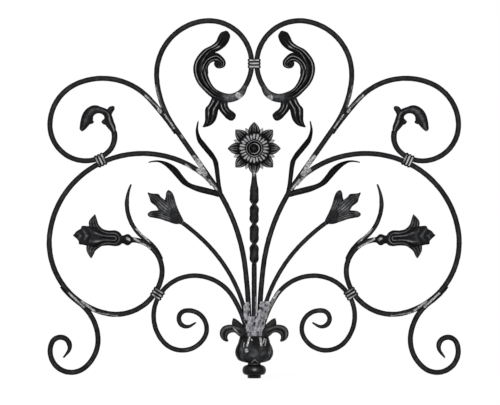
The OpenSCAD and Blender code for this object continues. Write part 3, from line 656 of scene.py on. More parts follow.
lanceLeaf = {
    "upper": [[6, 1, -7, 3], [2, 20, -8.5, 20], [-0.5, 40, -11.5, 42], [-3, 63, -15, 66],
              [-5.5, 77, -18.5, 78.5], [-14, 93, -24, 86], [-27, 109.5, -37, 101.5], [-37, 122, -48, 115],
              [-44, 130.5, -53, 122.5], [-50, 143.5, -57, 137], [-52, 155, -58, 151],
              [-51.4, 163, -56, 162], [-50.6, 172, -53.4, 171.4]],
    "lower": [[-2, 6, -4, -8], [-20, 11.5, -18, -4], [-38, 16, -33, -0.5], [-66, 23.5, -61, 8],
              [-78, 31, -88, 22], [-89, 44, -98, 32], [-100, 58.5, -112, 48], [-111.5, 68, -123, 59.5],
              [-126.5, 75.5, -133, 68], [-145, 79.3, -145, 74.2], [-158.5, 78.4, -158.2, 74.8],
              [-169.5, 75.6, -169, 73]],
    "depths": [[0, 11], [0.3, 9], [0.7, 6.5], [1, 2.4]],
    "look": {"base": 0.14, "gain": 0.26},
}


def lanceRelief(u, t):
    blade = fade(t, 0.3, 0.5) * (1 - fade(t, 0.9, 1))
    stalk = 1 - fade(t, 0.3, 0.5)
    return ridges(u, (0.9, -0.1, 0.14), (-1.3, 0.28, 0.22), (-0.8, -0.52, 0.25)) * blade \
        + 0.8 * crest(u, 0, 0.3) * stalk


for name, own in (("upper", 21), ("lower", 23)):
    bothSides(name + "_leaf", "leafwork", lambda piece, seed: addPetal(
        piece, leafFrom, lanceLeaf[name], lanceLeaf["depths"], lanceRelief, seed=seed + own,
        **lanceLeaf["look"]))

acanthus = {
    "body": [[5, -3, -5, 3], [-2.5, -21.5, -14.5, -9.5], [-18.5, -34.5, -27.5, -17], [-39.5, -40, -39.5, -19],
             [-59.5, -36.5, -54.5, -15.5], [-79.5, -28.5, -68.5, -8.5], [-98.5, -11.5, -78.5, 2.5],
             [-113.5, 6.5, -85.5, 16.5], [-122, 27.5, -89, 31.5], [-122.5, 48.5, -87.5, 50.5],
             [-114.5, 67.5, -81.5, 66.5], [-98.5, 85.5, -72.5, 77.5], [-81.5, 94.5, -59.5, 84],
             [-69.5, 104.5, -45.5, 95.5], [-63.5, 117.5, -37.5, 109.5], [-56.5, 126.5, -36.5, 120.5],
             [-46.5, 130, -41.5, 128.5]],
    "curl": [[-110.5, 24.5, -87.5, 27.5], [-106.5, 46.5, -87.5, 44.5], [-95.5, 63.5, -81.5, 53.5],
             [-82.5, 73.5, -74.5, 56.5], [-67.5, 77.5, -66.5, 55.5], [-54.5, 68.5, -62.5, 53.5],
             [-46.5, 56.5, -59.5, 51.5], [-48.5, 45.5, -60.5, 48.5], [-58.5, 40.5, -62.5, 47.5],
             [-69.5, 42.5, -65.5, 48.5], [-74.5, 51.5, -67.5, 51.5]],
    "tail": [[-77.5, -23.5, -51.5, -33.5], [-86.5, -43.5, -57.5, -44.5], [-94.5, -53.5, -63.5, -56.5],
             [-95.5, -69.5, -66.5, -70.5], [-95.5, -81.5, -71.5, -83.5], [-98.5, -91.5, -83.5, -94.5],
             [-101.5, -96.5, -98.5, -99]],
    "finger": [[-67.5, -40.5, -41.5, -35.5], [-61.5, -58.5, -40.5, -49.5], [-52.5, -69.5, -35.5, -56.5],
               [-42.5, -79.5, -26.5, -63.5], [-33.5, -83, -22.5, -71.5], [-29.5, -82.5, -24.5, -77.5]],
    "depths": {"body": [[0, 10], [0.2, 14], [0.7, 15], [1, 7]],
               "curl": [[0, 8], [0.12, 15], [0.6, 17], [1, 13]],
               "tail": [[0, 10], [0.3, 12], [1, 5]], "finger": [[0, 10], [0.3, 12], [1, 7]]},
    "forward": {"curl": 1.2},
    # the eye's last number sets its wear and painted shade
    "eye": (-65, 51.5, 9.5, 8.8, 0.24),     # x and z from the root, radius, reach, rub
    "look": {"base": 0.34, "gain": 0.27},
}


def acanthusRelief(u, t):
    on = fade(t, 0.24, 0.36) * (1 - fade(t, 0.86, 0.95))
    inner = on * (1 - fade(t, 0.52, 0.64))
    neck = fade(t, 0.56, 0.68) * (1 - fade(t, 0.84, 0.92))
    outer = 0.5 + 0.16 * fade(t, 0.36, 0.46) - 0.2 * fade(t, 0.62, 0.75)
    return (2.8 * crest(u, outer, 0.1) - 2.0 * crest(u, outer - 0.28, 0.13)) * on \
        + ridges(u, (2.2, -0.13, 0.09), (2.7, -0.6, 0.09), (-2.2, -0.36, 0.13)) * inner \
        - 1.5 * crest(u, 0.86, 0.1) * on - 1.4 * crest(u, -0.84, 0.09) * inner \
        + (2.0 * crest(u, -0.12, 0.1) - 1.5 * crest(u, -0.5, 0.2)) * neck


def acanthusTone(u, t):
    # two painted highlights across the leaf where the top lobe begins; otherwise lighter near the root and
    # darker beyond it and on the lobe
    plain = 1 - fade(t, 0.2, 0.3)
    lobe = fade(t, 0.8, 0.92)
    return 0.16 * plain - 0.14 * (1 - plain) - 0.1 * lobe \
        + 0.9 * crest(t, 0.835, 0.022) * (crest(u, 0.35, 0.18) + crest(u, -0.3, 0.14)) \
        + 0.12 * plain * crest(u, -0.2, 0.5)


def curlRelief(u, t):
    on = fade(t, 0.05, 0.16) * (1 - fade(t, 0.86, 0.97))
    return ridges(u, (2.6, 0.22, 0.13), (2.2, -0.5, 0.13), (-2.0, -0.14, 0.16), (-1.6, 0.66, 0.2)) * on


def tailRelief(u, t):
    on = fade(t, 0.04, 0.14) * (1 - fade(t, 0.36, 0.62))
    low = fade(t, 0.4, 0.55) * (1 - fade(t, 0.8, 0.95))
    slant = 0.55 - 0.25 * t
    return ridges(u, (2.6, slant, 0.13), (2.6, -0.3, 0.13), (-1.9, 0.1, 0.18), (-1.5, -0.75, 0.18)) * on \
        + ridges(u, (1.9, 0.4, 0.13), (1.6, -0.25, 0.13), (-1.4, 0.05, 0.2)) * low


def fingerRelief(u, t):
    on = fade(t, 0.03, 0.15) * (1 - fade(t, 0.5, 0.75))
    return ridges(u, (2.4, 0.3, 0.14), (2.0, -0.35, 0.14), (-1.8, -0.04, 0.16), (-1.3, 0.7, 0.2)) * on \
        + 1.3 * crest(t, 0.86, 0.05) * crest(u, 0.1, 0.22)


def darkEnd(u, t):
    return -0.12 - 0.1 * fade(t, 0.45, 0.75)


def darkCurl(u, t):
    return np.full(u.shape, -0.12)


def pastEnd(path):
    # the root of what follows on a bar's end
    place, heading = endOf(path)
    return place + seat * along(heading)


def makeAcanthus(piece, seed):
    root = pastEnd(mainPath)
    parts = [("tail", tailRelief, darkEnd, 30), ("finger", fingerRelief, darkEnd, 30),
             ("body", acanthusRelief, acanthusTone, 48), ("curl", curlRelief, darkCurl, 36)]
    for i, (name, relief, tone, across) in enumerate(parts):
        addPetal(piece, root, acanthus[name], acanthus["depths"][name], relief, across, seed=seed + 25 + i,
                 front=acanthus["forward"].get(name, 0), tone=tone, **acanthus["look"])
    x, z, radius, reach, wearAndShading = acanthus["eye"]
    addKnob(piece, root[0] + x, root[1] + z, radius, reach, wearAndShading)


bothSides("acanthus_leaf", "leafwork", makeAcanthus, leafCrease)

scrollLeaf = {
    "body": [[5.5, 1.5, -6, -1.5], [4, 13.5, -14, 7.5], [0.5, 22.5, -20, 15.5], [-3, 33.5, -22.5, 28.5],
             [-8, 45.5, -23, 35.5], [-19, 54, -28, 40.5], [-30, 58, -34, 42.5], [-40, 61.5, -40, 42],
             [-49, 61.5, -45, 39.5], [-59, 57.5, -48.5, 34.5], [-67.5, 50.5, -49, 28.5],
             [-74.5, 39.5, -51, 22.5], [-78.5, 25.5, -56, 17.5], [-80.5, 11.5, -62, 10.5],
             [-80, 4, -69.5, 3], [-77, 0.5, -73, 0.5]],
    "spur": [[-7, 33.5, -22, 46.5], [-3, 44.5, -15, 53.5], [2, 53.5, -9, 59], [1.5, 59, -3, 60.5]],
    "lip": [[-10, 27.5, -12, 9.5], [-21, 30.5, -19, 14.5], [-27, 26.5, -26.5, 18], [-29.5, 23.5, -29, 21]],
    "chin": [[-55, 31.5, -61, 17.5], [-50, 27, -54, 17], [-47, 23.5, -48, 19.5]],
    "depths": {"body": [[0, bar], [0.4, 13], [0.8, 12], [1, 7]], "spur": [[0, 10], [1, 7]],
               "lip": [[0, 10], [1, 6]], "chin": [[0, 9], [1, 6]]},
    "look": {"base": 0.27, "gain": 0.3},
}


def scrollRelief(u, t):
    neck = 1 - fade(t, 0.3, 0.42)
    return 0.8 * crest(u, 0.1, 0.35) + (1.0 * crest(u, 0.3, 0.2) - 0.8 * crest(u, -0.25, 0.2)) * neck \
        - 0.5 * crest(u, 0.75, 0.25) + 0.5 * crest(t, 0.62, 0.03) * crest(u, -0.3, 0.3)


def lobeRelief(u, t):
    return 0.5 * crest(u, 0, 0.4)


def makeScrollLeaf(piece, seed):
    root, depths, look = pastEnd(upperPath), scrollLeaf["depths"], scrollLeaf["look"]
    addPetal(piece, root, scrollLeaf["body"], depths["body"], scrollRelief, seed=seed + 31, **look)
    for name in ("spur", "lip", "chin"):
        addPetal(piece, root, scrollLeaf[name], depths[name], lobeRelief, 18, seed=seed + 32, **look)


bothSides("scroll_leaf", "leafwork", makeScrollLeaf, leafCrease)
print("leaves forged")


tulip = {
    "bulb": [[0.8, 6, -0.8, -6], [-7, 7.5, -7, -6.5], [-14, 13.5, -14, -12], [-20, 14, -20, -12.5],
             [-26, 11.5, -26, -9], [-34, 10.5, -34, -8]],
    "bell": [[-30, 9.5, -30, -7], [-35, 17, -35, -12], [-41, 21, -41, -14], [-63, 23, -63, -13],
             [-76, 25.5, -76, -14], [-90, 30, -90, -17], [-110, 33, -111, -14], [-126, 32.5, -122, -11.5],
             [-129, 26.5, -132.5, -9], [-137.5, 21.5, -133, -3], [-143, 15, -140, 5], [-146.5, 12, -146, 10]],
    "upper": [[-63, 22, -79, 7], [-78, 28, -104, 19], [-86, 37, -109, 35], [-90, 49, -108, 46],
              [-92.5, 57, -102.5, 53.5], [-94, 61, -95.5, 60.5]],
    "lower": [[-63, -12, -81, 4], [-81, -16, -109, -4], [-93.5, -26, -115, -15], [-98, -35, -113.5, -28],
              [-100.5, -39.5, -109, -36.5], [-103, -43, -105, -42.5]],
    "depths": {"bulb": [[0, bar], [0.2, 12.5], [0.5, 21], [0.8, 19], [1, 15]],
               "bell": [[0, 15], [0.14, 24], [0.45, 25], [0.75, 15], [1, 4]],
               "side": [[0, 10], [0.5, 9], [1, 3.5]]},
    "bulbLook": {"base": 0.12, "gain": 0.1},
    "bellLook": {"base": 0.35, "gain": 0.27, "edgeShade": 0.4},
    "sideLook": {"base": 0.42, "gain": 0.18, "edgeShade": 0.42},
}


def bellRelief(u, t):
    # nested grooves that open towards the petals, then a veined centre petal
    throat = fade(t, 0.0, 0.04) * (1 - fade(t, 0.5, 0.66))
    flare = 1 + 0.9 * fade(t, 0.3, 0.66)
    v = np.hypot((u + 0.02) / flare, np.maximum(0, 0.16 - t) / 0.15)
    petal = fade(t, 0.56, 0.68) * (1 - fade(t, 0.93, 1))
    veins = np.sin(t * 46 - np.abs(u) * 5.2) * crest(u, 0, 0.75)
    return (1.5 * crest(v, 0.26, 0.065) + 1.3 * crest(v, 0.66, 0.08)
            - 1.7 * crest(v, 0.0, 0.12) * crest(t, 0.26, 0.17)
            - 1.4 * crest(v, 0.46, 0.1) - 0.8 * crest(v, 0.86, 0.1)) * throat \
        + (0.75 * veins + 0.3 * crest(u, 0, 0.1)) * petal


def sideRelief(u, t):
    return (np.cos(u * 11) * 0.9 + 0.6 * crest(u, -0.7, 0.12)) * fade(t, 0.2, 0.4) * (1 - fade(t, 0.88, 1))


def bulbRelief(u, t):
    return 0.6 * crest(t, 0.45, 0.2)


def makeTulip(piece, seed):
    root, depths = pastEnd(bigPath), tulip["depths"]
    for name in ("upper", "lower"):
        addPetal(piece, root, tulip[name], depths["side"], sideRelief, 32, seed=seed + 35,
                 **tulip["sideLook"])
    addPetal(piece, root, tulip["bell"], depths["bell"], bellRelief, 56, step=1.3, seed=seed + 36,
             **tulip["bellLook"])
    addPetal(piece, root, tulip["bulb"], depths["bulb"], bulbRelief, seed=seed + 37, **tulip["bulbLook"])


bothSides("tulip", "leafwork", makeTulip, leafCrease)

trumpet = {
    "socket": [[3.5, 5, -3.5, -5], [-0.5, 9, -8, -1]],
    "upper": [[2.5, 7, -2.5, 1], [-7, 26, -20.5, 14], [-14.5, 45, -33.5, 35], [-17.5, 56, -41.5, 50],
              [-20.5, 65, -39, 62], [-24.5, 72, -38, 70], [-29.5, 76, -35.5, 75], [-32, 77, -33.5, 77]],
    "middle": [[0.5, 6, -4.5, 0], [-13.5, 25, -21.5, 10], [-28.5, 43, -40.5, 17], [-41.5, 54, -56.5, 30],
               [-49.5, 60, -61.5, 38], [-57.5, 68, -74.5, 49], [-71.5, 69, -77.5, 59],
               [-80.5, 71.5, -82, 70]],
    "lower": [[-0.5, 5, -3, -3], [-15.5, 15, -15.5, -3.5], [-35.5, 25, -33.5, 2], [-52.5, 30, -55.5, 9],
              [-60.5, 29, -68.5, 11.5], [-76.5, 26, -78, 14], [-81.5, 22, -81.5, 17]],
    "depths": [[0, 12], [0.4, 12], [1, 4]],
    "socketDepths": [[0, 13], [1, 14.5]],
    "middleForward": 1.5,
    "look": {"base": 0.46, "gain": 0.19, "edgeShade": 0.4},
}


def ribRelief(u, t):
    # fine ribs that spread from the socket's edge
    socket = 1 - fade(t, 0.25, 0.29)
    return np.cos(u * 15 + 0.6) * 0.75 * fade(t, 0.27, 0.36) * (1 - fade(t, 0.82, 0.96)) + 0.9 * socket


def ribTone(u, t):
    # painted shade in the crease at the socket's edge; the socket darker, the petals lighter in the middle,
    # darker further out and lighter again near the tips
    socket = 1 - fade(t, 0.25, 0.29)
    return -0.28 * socket - 0.2 * crest(t, 0.3, 0.03) + 0.12 * crest(t, 0.5, 0.2) \
        - 0.1 * fade(t, 0.62, 0.75) + 0.16 * crest(t, 0.9, 0.05)


def makeTrumpet(piece, seed):
    root = pastEnd(flowerPath)
    for i, name in enumerate(("lower", "upper", "middle")):
        addPetal(piece, root, trumpet[name], trumpet["depths"], ribRelief, 44, seed=seed + 41 + i,
                 front=trumpet["middleForward"] if name == "middle" else 0, tone=ribTone, **trumpet["look"])
    addPetal(piece, root, trumpet["socket"], trumpet["socketDepths"], None, 20, seed=seed + 45, base=0.16)


bothSides("trumpet", "leafwork", makeTrumpet, leafCrease)
print("flowers forged")


rosette = {
    "height": 542, "across": 125, "rays": 24, "petals": 8,
    "short": {"from": 20, "length": 33, "width": 6.5, "depths": [[0, 3], [1, 2.2]], "forward": 1.6},
    "long": {"from": 17, "width": 14, "depths": [[0, 6], [0.55, 5], [0.85, 4.5], [1, 3]], "forward": 2.6,
             "overlap": 0.5},
    "shape": [[0, 0.55], [0.3, 0.92], [0.52, 1], [0.72, 0.84], [0.87, 0.5], [0.96, 0.2], [1, 0.05]],
    # (height, radius, wear and painted light) from the back of the fluted ring to the top of the dome:
    # painted highlights on the ring crests and a glint on the dome's top, painted shade in the grooves
    "turned": [(0.4, 30, 0), (4.6, 37, 0.05), (6.6, 38, 0.08), (7.4, 36, 0.15), (8.8, 31, 0.42),
               (9.9, 25, 0.55), (10.6, 20.8, 0.3), (10.1, 19.9, 0), (11.4, 19.1, 0.55), (12.2, 18.2, 0.95),
               (11.5, 17.3, 0.4), (9.4, 16.4, 0), (9.2, 14.4, 0), (10.8, 13.4, 0.2), (12.5, 12.5, 0.75),
               (12.9, 11.6, 0.92), (12.2, 10.7, 0.4), (10.8, 10, 0), (11.6, 9.6, 0), (14.2, 8.2, 0.03),
               (16.6, 5.5, 0.1), (18.2, 2.8, 0.34), (18.8, 1, 0.42), (18.9, 0.2, 0.42)],
}


def rayRungs(heading, start, length, width):
    rungs = []
    for share, wide in rosette["shape"]:
        p = (start + length * share) * along(heading)
        m = width * wide * leftOf(heading)
        rungs.append([*(p + m), *(p - m)])
    return rungs


def rosettePetalRelief(u, t):
    tip = fade(t, 0.38, 0.56)
    v = np.abs(u)
    return (1.5 * crest(v, 0.7, 0.1) + 0.9 * crest(v, 0.22, 0.12) * (1 - fade(t, 0.8, 0.95))
            - 1.3 * crest(v, 0.47, 0.12)) * tip - 1.8 * (1 - tip)


# painted shade at the roots under the fluted ring and along the edges, lighter towards the tips
def rosettePetalTone(u, t):
    return 0.2 * fade(t, 0.55, 0.8) - 0.3 * (1 - fade(t, 0.3, 0.5)) - 0.3 * crest(np.abs(u), 0.97, 0.12)


def rayAt(angle):
    return np.abs(np.cos(angle * rosette["rays"] / 2)) ** 0.8


def flutes(angle, h, r):
    swell = np.clip((h - 4) / 3, 0, 1) * np.clip((r - 20.8) / 5, 0, 1)
    return 2.0 * (rayAt(angle) - 0.55) * swell


def flutesTone(points):
    # painted highlights and wear along the ribs, more on some than on others; the inner ring is painted
    # lighter on its right and darker on its left as light and shade, and painted shade lies round the ring's
    # outer edge
    angle, r = np.arctan2(points[:, 2], points[:, 0]), np.hypot(points[:, 0], points[:, 2])
    ring = fade(r, 20.5, 23) * (1 - fade(r, 33, 37))
    patch = grain(np.stack([np.cos(angle) * 9, np.sin(angle) * 9, r / 3], 1), 2.3, 8)
    return ring * (1.05 * rayAt(angle) ** 1.3 + 0.4 * patch - 0.5) \
        + 0.25 * crest(r, 12, 1.4) * np.cos(angle) - 0.3 * crest(r, 36, 3)


def shortPetalRelief(u, t):
    return 0.5 * crest(u, 0, 0.3)


def makeRosette():
    piece = newPiece()
    middle = np.array([0, rosette["height"]])
    short, long, spacing = rosette["short"], rosette["long"], 360 / rosette["petals"]
    for i in range(rosette["petals"]):
        rungs = rayRungs(90 + spacing / 2 + spacing * i, short["from"], short["length"], short["width"])
        addPetal(piece, middle, rungs, short["depths"], shortPetalRelief, 12, seed=i, base=0.86, gain=0.1,
                 front=short["forward"], edgeShade=0.1)
    for i in range(rosette["petals"]):
        rungs = rayRungs(90 + spacing * i, long["from"], rosette["across"] / 2 - long["from"], long["width"])
        addPetal(piece, middle, rungs, long["depths"], rosettePetalRelief, 40, step=1, seed=60 + i, base=0.3,
                 gain=0.4, rim=0.5, front=long["forward"] + long["overlap"] * (i % 2), tone=rosettePetalTone)
    rows = rosette["turned"]
    lengths = [math.hypot(b[0] - a[0], b[1] - a[1]) for a, b in zip(rows, rows[1:])]
    steps = np.concatenate([[0], np.cumsum(lengths)])
    dense = smooth(np.arange(0, steps[-1], 0.55), rows, steps)
    dense[:, 1] = np.maximum(dense[:, 1], 0.1)
    addTurned(piece, dense, flutes, around=288, gain=0.1, seed=71, lumps=0.1,
              middle=(0, 0, rosette["height"]), upright=False, tone=flutesTone)
    finishPiece("rosette_shape", "rosette", "leafwork", piece, marks=groundMiddle, angle=leafCrease)


makeRosette()
print("rosette set")


centreStem = {
    "foot": 100, "twistFrom": 271, "pitch": 46.5, "top": 541, "wide": 20.5, "thick": 10, "snap": 0.7,
    "crossingHighlight": 0.42, "crossingReach": 0.09,
    # (height, width, depth, set back) above the middle of the last lozenge
    "neck": [(434, 20.5, 10, 0), (445, 20.2, 9.6, 0), (451, 18.4, 8.8, 0.3), (457, 15.6, 8, 0.8),
             (466, 13.2, 7.2, 1.8), (478, 10.6, 6.3, 2.8), (490, 10, 6, 3.2), (541, 10, 6, 3.2)],
}


def twistAt(z):
    # the bar lies flat to the front in each lozenge and turns over quickly between them
    phase = (z - centreStem["twistFrom"]) / centreStem["pitch"]
    return 90 + 180 * (phase + centreStem["snap"] * math.sin(2 * math.pi * phase) / (2 * math.pi))


def makeCentreStem():
    piece = newPiece()
    low, pitch = centreStem["twistFrom"], centreStem["pitch"]
    neck = centreStem["neck"]
    rows = [(z, bar, bar, 0, 0, 0) for z in np.linspace(centreStem["foot"], low - 7, 60)]
    for z in np.linspace(low - 1, neck[0][0], 170):
        turn = (z - low) / pitch
        off = (turn - round(turn)) / centreStem["crossingReach"]
        # painted highlight on the corners where the bar turns over between lozenges
        crossing = centreStem["crossingHighlight"] * math.exp(-off ** 2)
        rows.append((z, centreStem["wide"], centreStem["thick"], twistAt(z), 0, crossing))
    last = twistAt(neck[0][0])
    dense = smooth(np.linspace(neck[0][0] + 1, centreStem["top"], 60), neck, [r[0] for r in neck])
    rows += [(z, wide, thick, last, back, 0) for z, wide, thick, back in dense]
    addStack(piece, rows, 81)
    finishPiece("centre_stem_shape", "centre_stem", "bar", piece, marks=groundMiddle)


makeCentreStem()
print("centre stem twisted")


baseCup = {
    "wide": 90, "deep": 50, "from": 36, "to": 99.8,
    "shape": [[0, 0.33, 0.56], [0.03, 0.56, 0.64], [0.08, 0.76, 0.76], [0.2, 0.92, 0.9], [0.38, 1, 1],
              [0.55, 0.96, 0.98], [0.75, 0.84, 0.9], [0.88, 0.79, 0.84], [1, 0.74, 0.78]],
    "hook": [[-14, 115, -19, 91], [-24, 120, -27.5, 94], [-40, 124, -38, 101], [-52, 126.5, -46, 107.5],
             [-63, 126, -54, 107.5], [-72, 123, -59, 105], [-79, 116, -62, 101.5], [-81.5, 106, -63, 97],
             [-79, 96, -62.5, 93], [-71, 88, -61, 90], [-65, 86, -61, 87]],
    "hookDepths": [[0, 10], [0.14, 24], [0.34, 22], [0.6, 18], [1, 8]],
    "spur": [[-22, 121, -44, 108], [-33, 132, -52, 124], [-42.5, 139.5, -52.5, 133], [-48, 142, -50.5, 141]],
    "spurDepths": [[0, 16], [1, 7]],
    # (height, radius, wear and painted shade) of the ring and neck, with painted shade in the grooves
    "turned": [(0, 12, 0.05), (0.4, 14.6, 0.08), (2, 15.8, 0.12), (6, 16, 0.1), (7.2, 17, 0), (8.5, 22, 0.04),
               (12, 26, 0.1), (16, 27.8, 0.16), (19.5, 28, 0.2), (23, 27.6, 0.22), (27, 25.6, 0.2),
               (30.2, 21.5, 0.1), (31.6, 16.8, 0), (33, 15.6, 0.2), (36, 15.4, 0.15), (39, 16.5, 0.05)],
    # lines along which the side leaves lap the body: (x, z) from the mouth down
    "laps": [[(-27, 92), (-31, 78), (-34, 62), (-30, 48), (-22, 41)],
             [(33, 92), (39, 74), (38.5, 60), (35, 50), (28, 44)]],
    "gable": [[(-6, 37), (1, 44.5)], [(9.5, 37), (1, 44.5)]],
    # painted highlights, then painted shade in the mouth, under the hooks and on the sides: (x, z, reach
    # across, reach up, strength)
    "highlight": [(1, 21, 7, 3.8, 0.7), (2, 34, 12, 1.3, 0.5), (0, 56, 22, 9, 0.2), (41, 62, 2.4, 13, 0.5),
              (35, 62, 1.4, 12, 0.42), (-29, 66, 1.6, 14, 0.3), (-14, 72, 6, 10, 0.16)],
    "dark": [(3.5, 88, 13.5, 11, 0.7), (-41, 58, 6, 18, 0.4), (-18, 43, 9, 5, 0.35), (-26, 97, 9, 7, 0.4),
             (28, 97, 6, 6, 0.25), (46, 50, 5, 14, 0.3)],
}


def nearLine(x, z, line, width):
    gap = np.full(x.shape, 1e3)
    for (x1, z1), (x2, z2) in zip(line, line[1:]):
        s = np.clip(((x - x1) * (x2 - x1) + (z - z1) * (z2 - z1)) / ((x2 - x1) ** 2 + (z2 - z1) ** 2), 0, 1)
        gap = np.minimum(gap, np.hypot(x - x1 - s * (x2 - x1), z - z1 - s * (z2 - z1)))
    return np.exp(-(gap / width) ** 2)


def cupTone(points):
    x, y, z = points.T
    total = np.zeros(len(points))
    for key, sign in (("highlight", 1), ("dark", -1)):
        for cx, cz, wide, tall, strength in baseCup[key]:
            total += sign * strength * np.exp(-((x - cx) / wide) ** 2 - ((z - cz) / tall) ** 2)
    return total * (y < 2)


def addCupBody(piece):
    rows = np.array(baseCup["shape"])
    dense = smooth(np.linspace(0, 1, 76), rows, rows[:, 0])
    around = 180
    angle = np.linspace(0, 2 * math.pi, around, endpoint=False)
    c, s = np.cos(angle), np.sin(angle)
    points, wearAndShading = [], []
    for share, wide, deep in dense:
        z = np.full(around, baseCup["from"] + (baseCup["to"] - baseCup["from"]) * share)
        x, y = c * wide * baseCup["wide"] / 2, s * deep * baseCup["deep"] / 2
        front = y < 0
        lap = sum(nearLine(x, z, line, 1.0) for line in baseCup["laps"]) * front
        groove = sum(nearLine(x - 2.4 * np.sign(x), z, line, 1.6) for line in baseCup["laps"]) * front
        gable = sum(nearLine(x, z, line, 0.9) for line in baseCup["gable"]) * front
        mouth = np.exp(-((x - 3.5) / 14) ** 2 - ((z - 91) / 12) ** 2) * front
        out = 0.9 * lap - 0.8 * groove + 1.0 * gable - 1.6 * mouth
        points.append(np.stack([x + c * out, y + s * out, z], 1))
        # painted highlights along the laps and the gable, painted shade in the grooves beside the laps and on
        # the left and right sides where the body turns away
        wearAndShading.append(0.36 + 0.34 * lap - 0.26 * groove + 0.7 * gable - 0.3 * np.abs(c) ** 6)
    points, wearAndShading = np.concatenate(points), np.concatenate(wearAndShading)
    marks = grain(points, 9, 91)
    points[:, 1] += 0.25 * marks
    addShell(piece, points, tubeFaces(len(dense), around), wearAndShading + 0.12 * marks + cupTone(points))


def hookRelief(u, t):
    on = fade(t, 0.1, 0.3) * (1 - fade(t, 0.85, 1))
    return ridges(u, (1.0, 0.45, 0.3), (-1.2, -0.1, 0.2), (1.1, -0.55, 0.12), (-0.8, -0.85, 0.1)) * on


def spurRelief(u, t):
    return 0.8 * crest(u, 0.1, 0.25) * (1 - t)


def makeCup():
    piece = newPiece()
    addCupBody(piece)
    rows = baseCup["turned"]
    dense = smooth(np.linspace(0, rows[-1][0], 70), rows, [r[0] for r in rows])
    addTurned(piece, dense, seed=92, tone=cupTone)
    for flip in (1, -1):
        hook = [[flip * a, b, flip * c, d] for a, b, c, d in baseCup["hook"]]
        spur = [[flip * a, b, flip * c, d] for a, b, c, d in baseCup["spur"]]
        addPetal(piece, np.zeros(2), spur, baseCup["spurDepths"], spurRelief, 20, seed=93 + flip, base=0.26)
        addPetal(piece, np.zeros(2), hook, baseCup["hookDepths"], hookRelief, 30, seed=95 + flip, base=0.34,
                 gain=0.28)
    finishPiece("base_cup_shape", "base_cup", "cup", piece, marks=groundMiddle, angle=45)


baseWeld = {
    "block": [[-21, 99, 21.5, 99], [-20.5, 104, 24, 104], [-20.5, 116, 26, 116], [-21.5, 130, 27.5, 130],
              [-24, 142, 29, 142], [-24, 146, 29, 146]],
    "left": [[-22.5, 138, -8.6, 138], [-25, 150, -8.6, 150], [-25.5, 162, -9, 162], [-24.5, 172, -10, 174],
             [-20, 179, -12, 181]],
    "right": [[8.6, 138, 28.5, 138], [8.6, 150, 31, 150], [8.8, 162, 35, 164], [10, 174, 38, 176],
              [14, 181, 36, 182]],
    # (x, z, reach across, reach up, depth)
    "pits": [(0.7, 128, 2.2, 6, 1.0), (0, 107.5, 22, 1.1, 0.5), (-14, 150, 2, 9, 0.5),
             (17, 160, 2.4, 10, 0.6), (3, 143, 2.5, 4, 0.6), (27, 172, 2.2, 3, 0.7),
             (-21, 120, 1.4, 9, 0.3), (14, 120, 1.5, 8, 0.3)],
    "proud": 2.4,      # thicker than the bars it holds
}


def addWeldLump(piece, rungs, depth, seed):
    addPetal(piece, np.zeros(2), rungs, [[0, depth], [1, depth]], None, 56, step=0.8, seed=seed, base=0,
             rim=0.55, edgeShade=0.1, back=1)
    points = piece["points"][-1]
    x, y, z = points.T
    beads = np.stack([x / 5, y / 6, z / 7], 1)
    fine = np.stack([x / 2.2, y / 3, z / 3], 1)
    bead = 0.7 * grain(beads, 1, seed) + 0.4 * grain(fine, 1, seed + 5)
    pit = sum(k * np.exp(-((x - a) / w) ** 2 - ((z - b) / h) ** 2) for a, b, w, h, k in baseWeld["pits"])
    points[:, 1] -= np.where(y < 0, 1, -0.4) * (0.9 * bead - 1.4 * pit)
    # lighter on the beads, painted shade in the pits
    piece["wearAndShading"][-1] = np.clip(0.56 + 0.62 * bead - 0.9 * pit, 0, 1)


def makeWeld():
    piece = newPiece()
    for i, name in enumerate(("block", "left", "right")):
        addWeldLump(piece, baseWeld[name], bar + baseWeld["proud"], 97 + i)
    finishPiece("base_weld_shape", "base_weld", "weld", piece, marks=groundMiddle, angle=60)


makeCup()
makeWeld()
print("cup and weld set")


stage = {
    "middle": (-0.0099, 0.4147), "distance": 9.0, "seenWidth": 1.180, "sensor": 36, "farthest": 60,
    "world": 0.5, "floor": 12, "floorHeight": -0.0006, "floorShade": 0.82, "glow": 1.16, "glowShare": 0.78,
    # (place, size, power)
    "key": ((-1.4, -4.2, 2.6), 2.2, 62), "fill": ((2.4, -3.6, 1.2), 2.0, 14),
}


def cameraRaysWhite(tree, plain, white):
    # what the camera, and glossy and clear surfaces, see is white; everything else is lit plainly
    path = addNode(tree, "ShaderNodeLightPath")
    either = path.outputs["Is Camera Ray"]
    for name in ("Is Glossy Ray", "Is Transmission Ray"):
        either = addMaths(tree, "MAXIMUM", either, path.outputs[name])
    mix = addNode(tree, "ShaderNodeMixShader")
    for socket, value in zip(mix.inputs, (either, plain.outputs[0], white.outputs[0])):
        tree.links.new(value, socket)
    return mix.outputs[0]


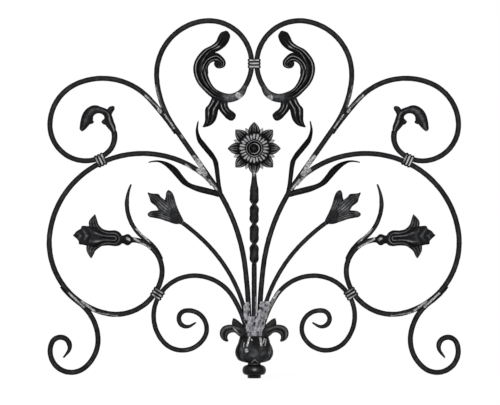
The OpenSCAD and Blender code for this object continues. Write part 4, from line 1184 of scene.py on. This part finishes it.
world = bpy.data.worlds.new("studio")
bpy.context.scene.world = world
tree = emptyTree(world)
plain = addNode(tree, "ShaderNodeBackground", Color=(1, 1, 1, 1), Strength=stage["world"])
white = addNode(tree, "ShaderNodeBackground", Color=(1, 1, 1, 1), Strength=1)
worldOut = addNode(tree, "ShaderNodeOutputWorld")
tree.links.new(cameraRaysWhite(tree, plain, white), worldOut.inputs[0])

half = stage["floor"] / 2
corners = [(-half, -half, 0), (half, -half, 0), (half, half, 0), (-half, half, 0)]
floorMesh = bpy.data.meshes.new("floor")
floorMesh.from_pydata(corners, [], [[0, 1, 2, 3]])
floor = bpy.data.objects.new("floor", floorMesh)
bpy.context.scene.collection.objects.link(floor)
floor.location.z = stage["floorHeight"]
floorMat = bpy.data.materials.new("paleFloor")
tree = emptyTree(floorMat)
matt = addNode(tree, "ShaderNodeBsdfDiffuse", Color=(*[stage["floorShade"]] * 3, 1))
glow = addNode(tree, "ShaderNodeEmission", Strength=stage["glow"])
pale = addNode(tree, "ShaderNodeMixShader", Fac=stage["glowShare"])
tree.links.new(matt.outputs[0], pale.inputs[1])
tree.links.new(glow.outputs[0], pale.inputs[2])
floorOut = addNode(tree, "ShaderNodeOutputMaterial")
tree.links.new(cameraRaysWhite(tree, matt, pale), floorOut.inputs[0])
floorMesh.materials.append(floorMat)

middleX, middleZ = stage["middle"]
for name in ("key", "fill"):
    place, size, power = stage[name]
    lamp = bpy.data.lights.new(name, "AREA")
    lamp.size = size
    lamp.energy = power
    lampObject = bpy.data.objects.new(name, lamp)
    lampObject.location = place
    lampObject.rotation_euler = (Vector((0, 0, middleZ)) - Vector(place)).to_track_quat("-Z", "Y").to_euler()
    bpy.context.scene.collection.objects.link(lampObject)

camera = bpy.data.cameras.new("camera")
camera.sensor_width = stage["sensor"]
camera.lens = stage["sensor"] * stage["distance"] / stage["seenWidth"]
camera.clip_end = stage["farthest"]
cameraObject = bpy.data.objects.new("camera", camera)
cameraObject.location = (middleX, -stage["distance"], middleZ)
cameraObject.rotation_euler = (math.radians(90), 0, 0)
bpy.context.scene.collection.objects.link(cameraObject)
bpy.context.scene.camera = cameraObject
bpy.context.scene.view_settings.view_transform = "Standard"
print("stage lit")
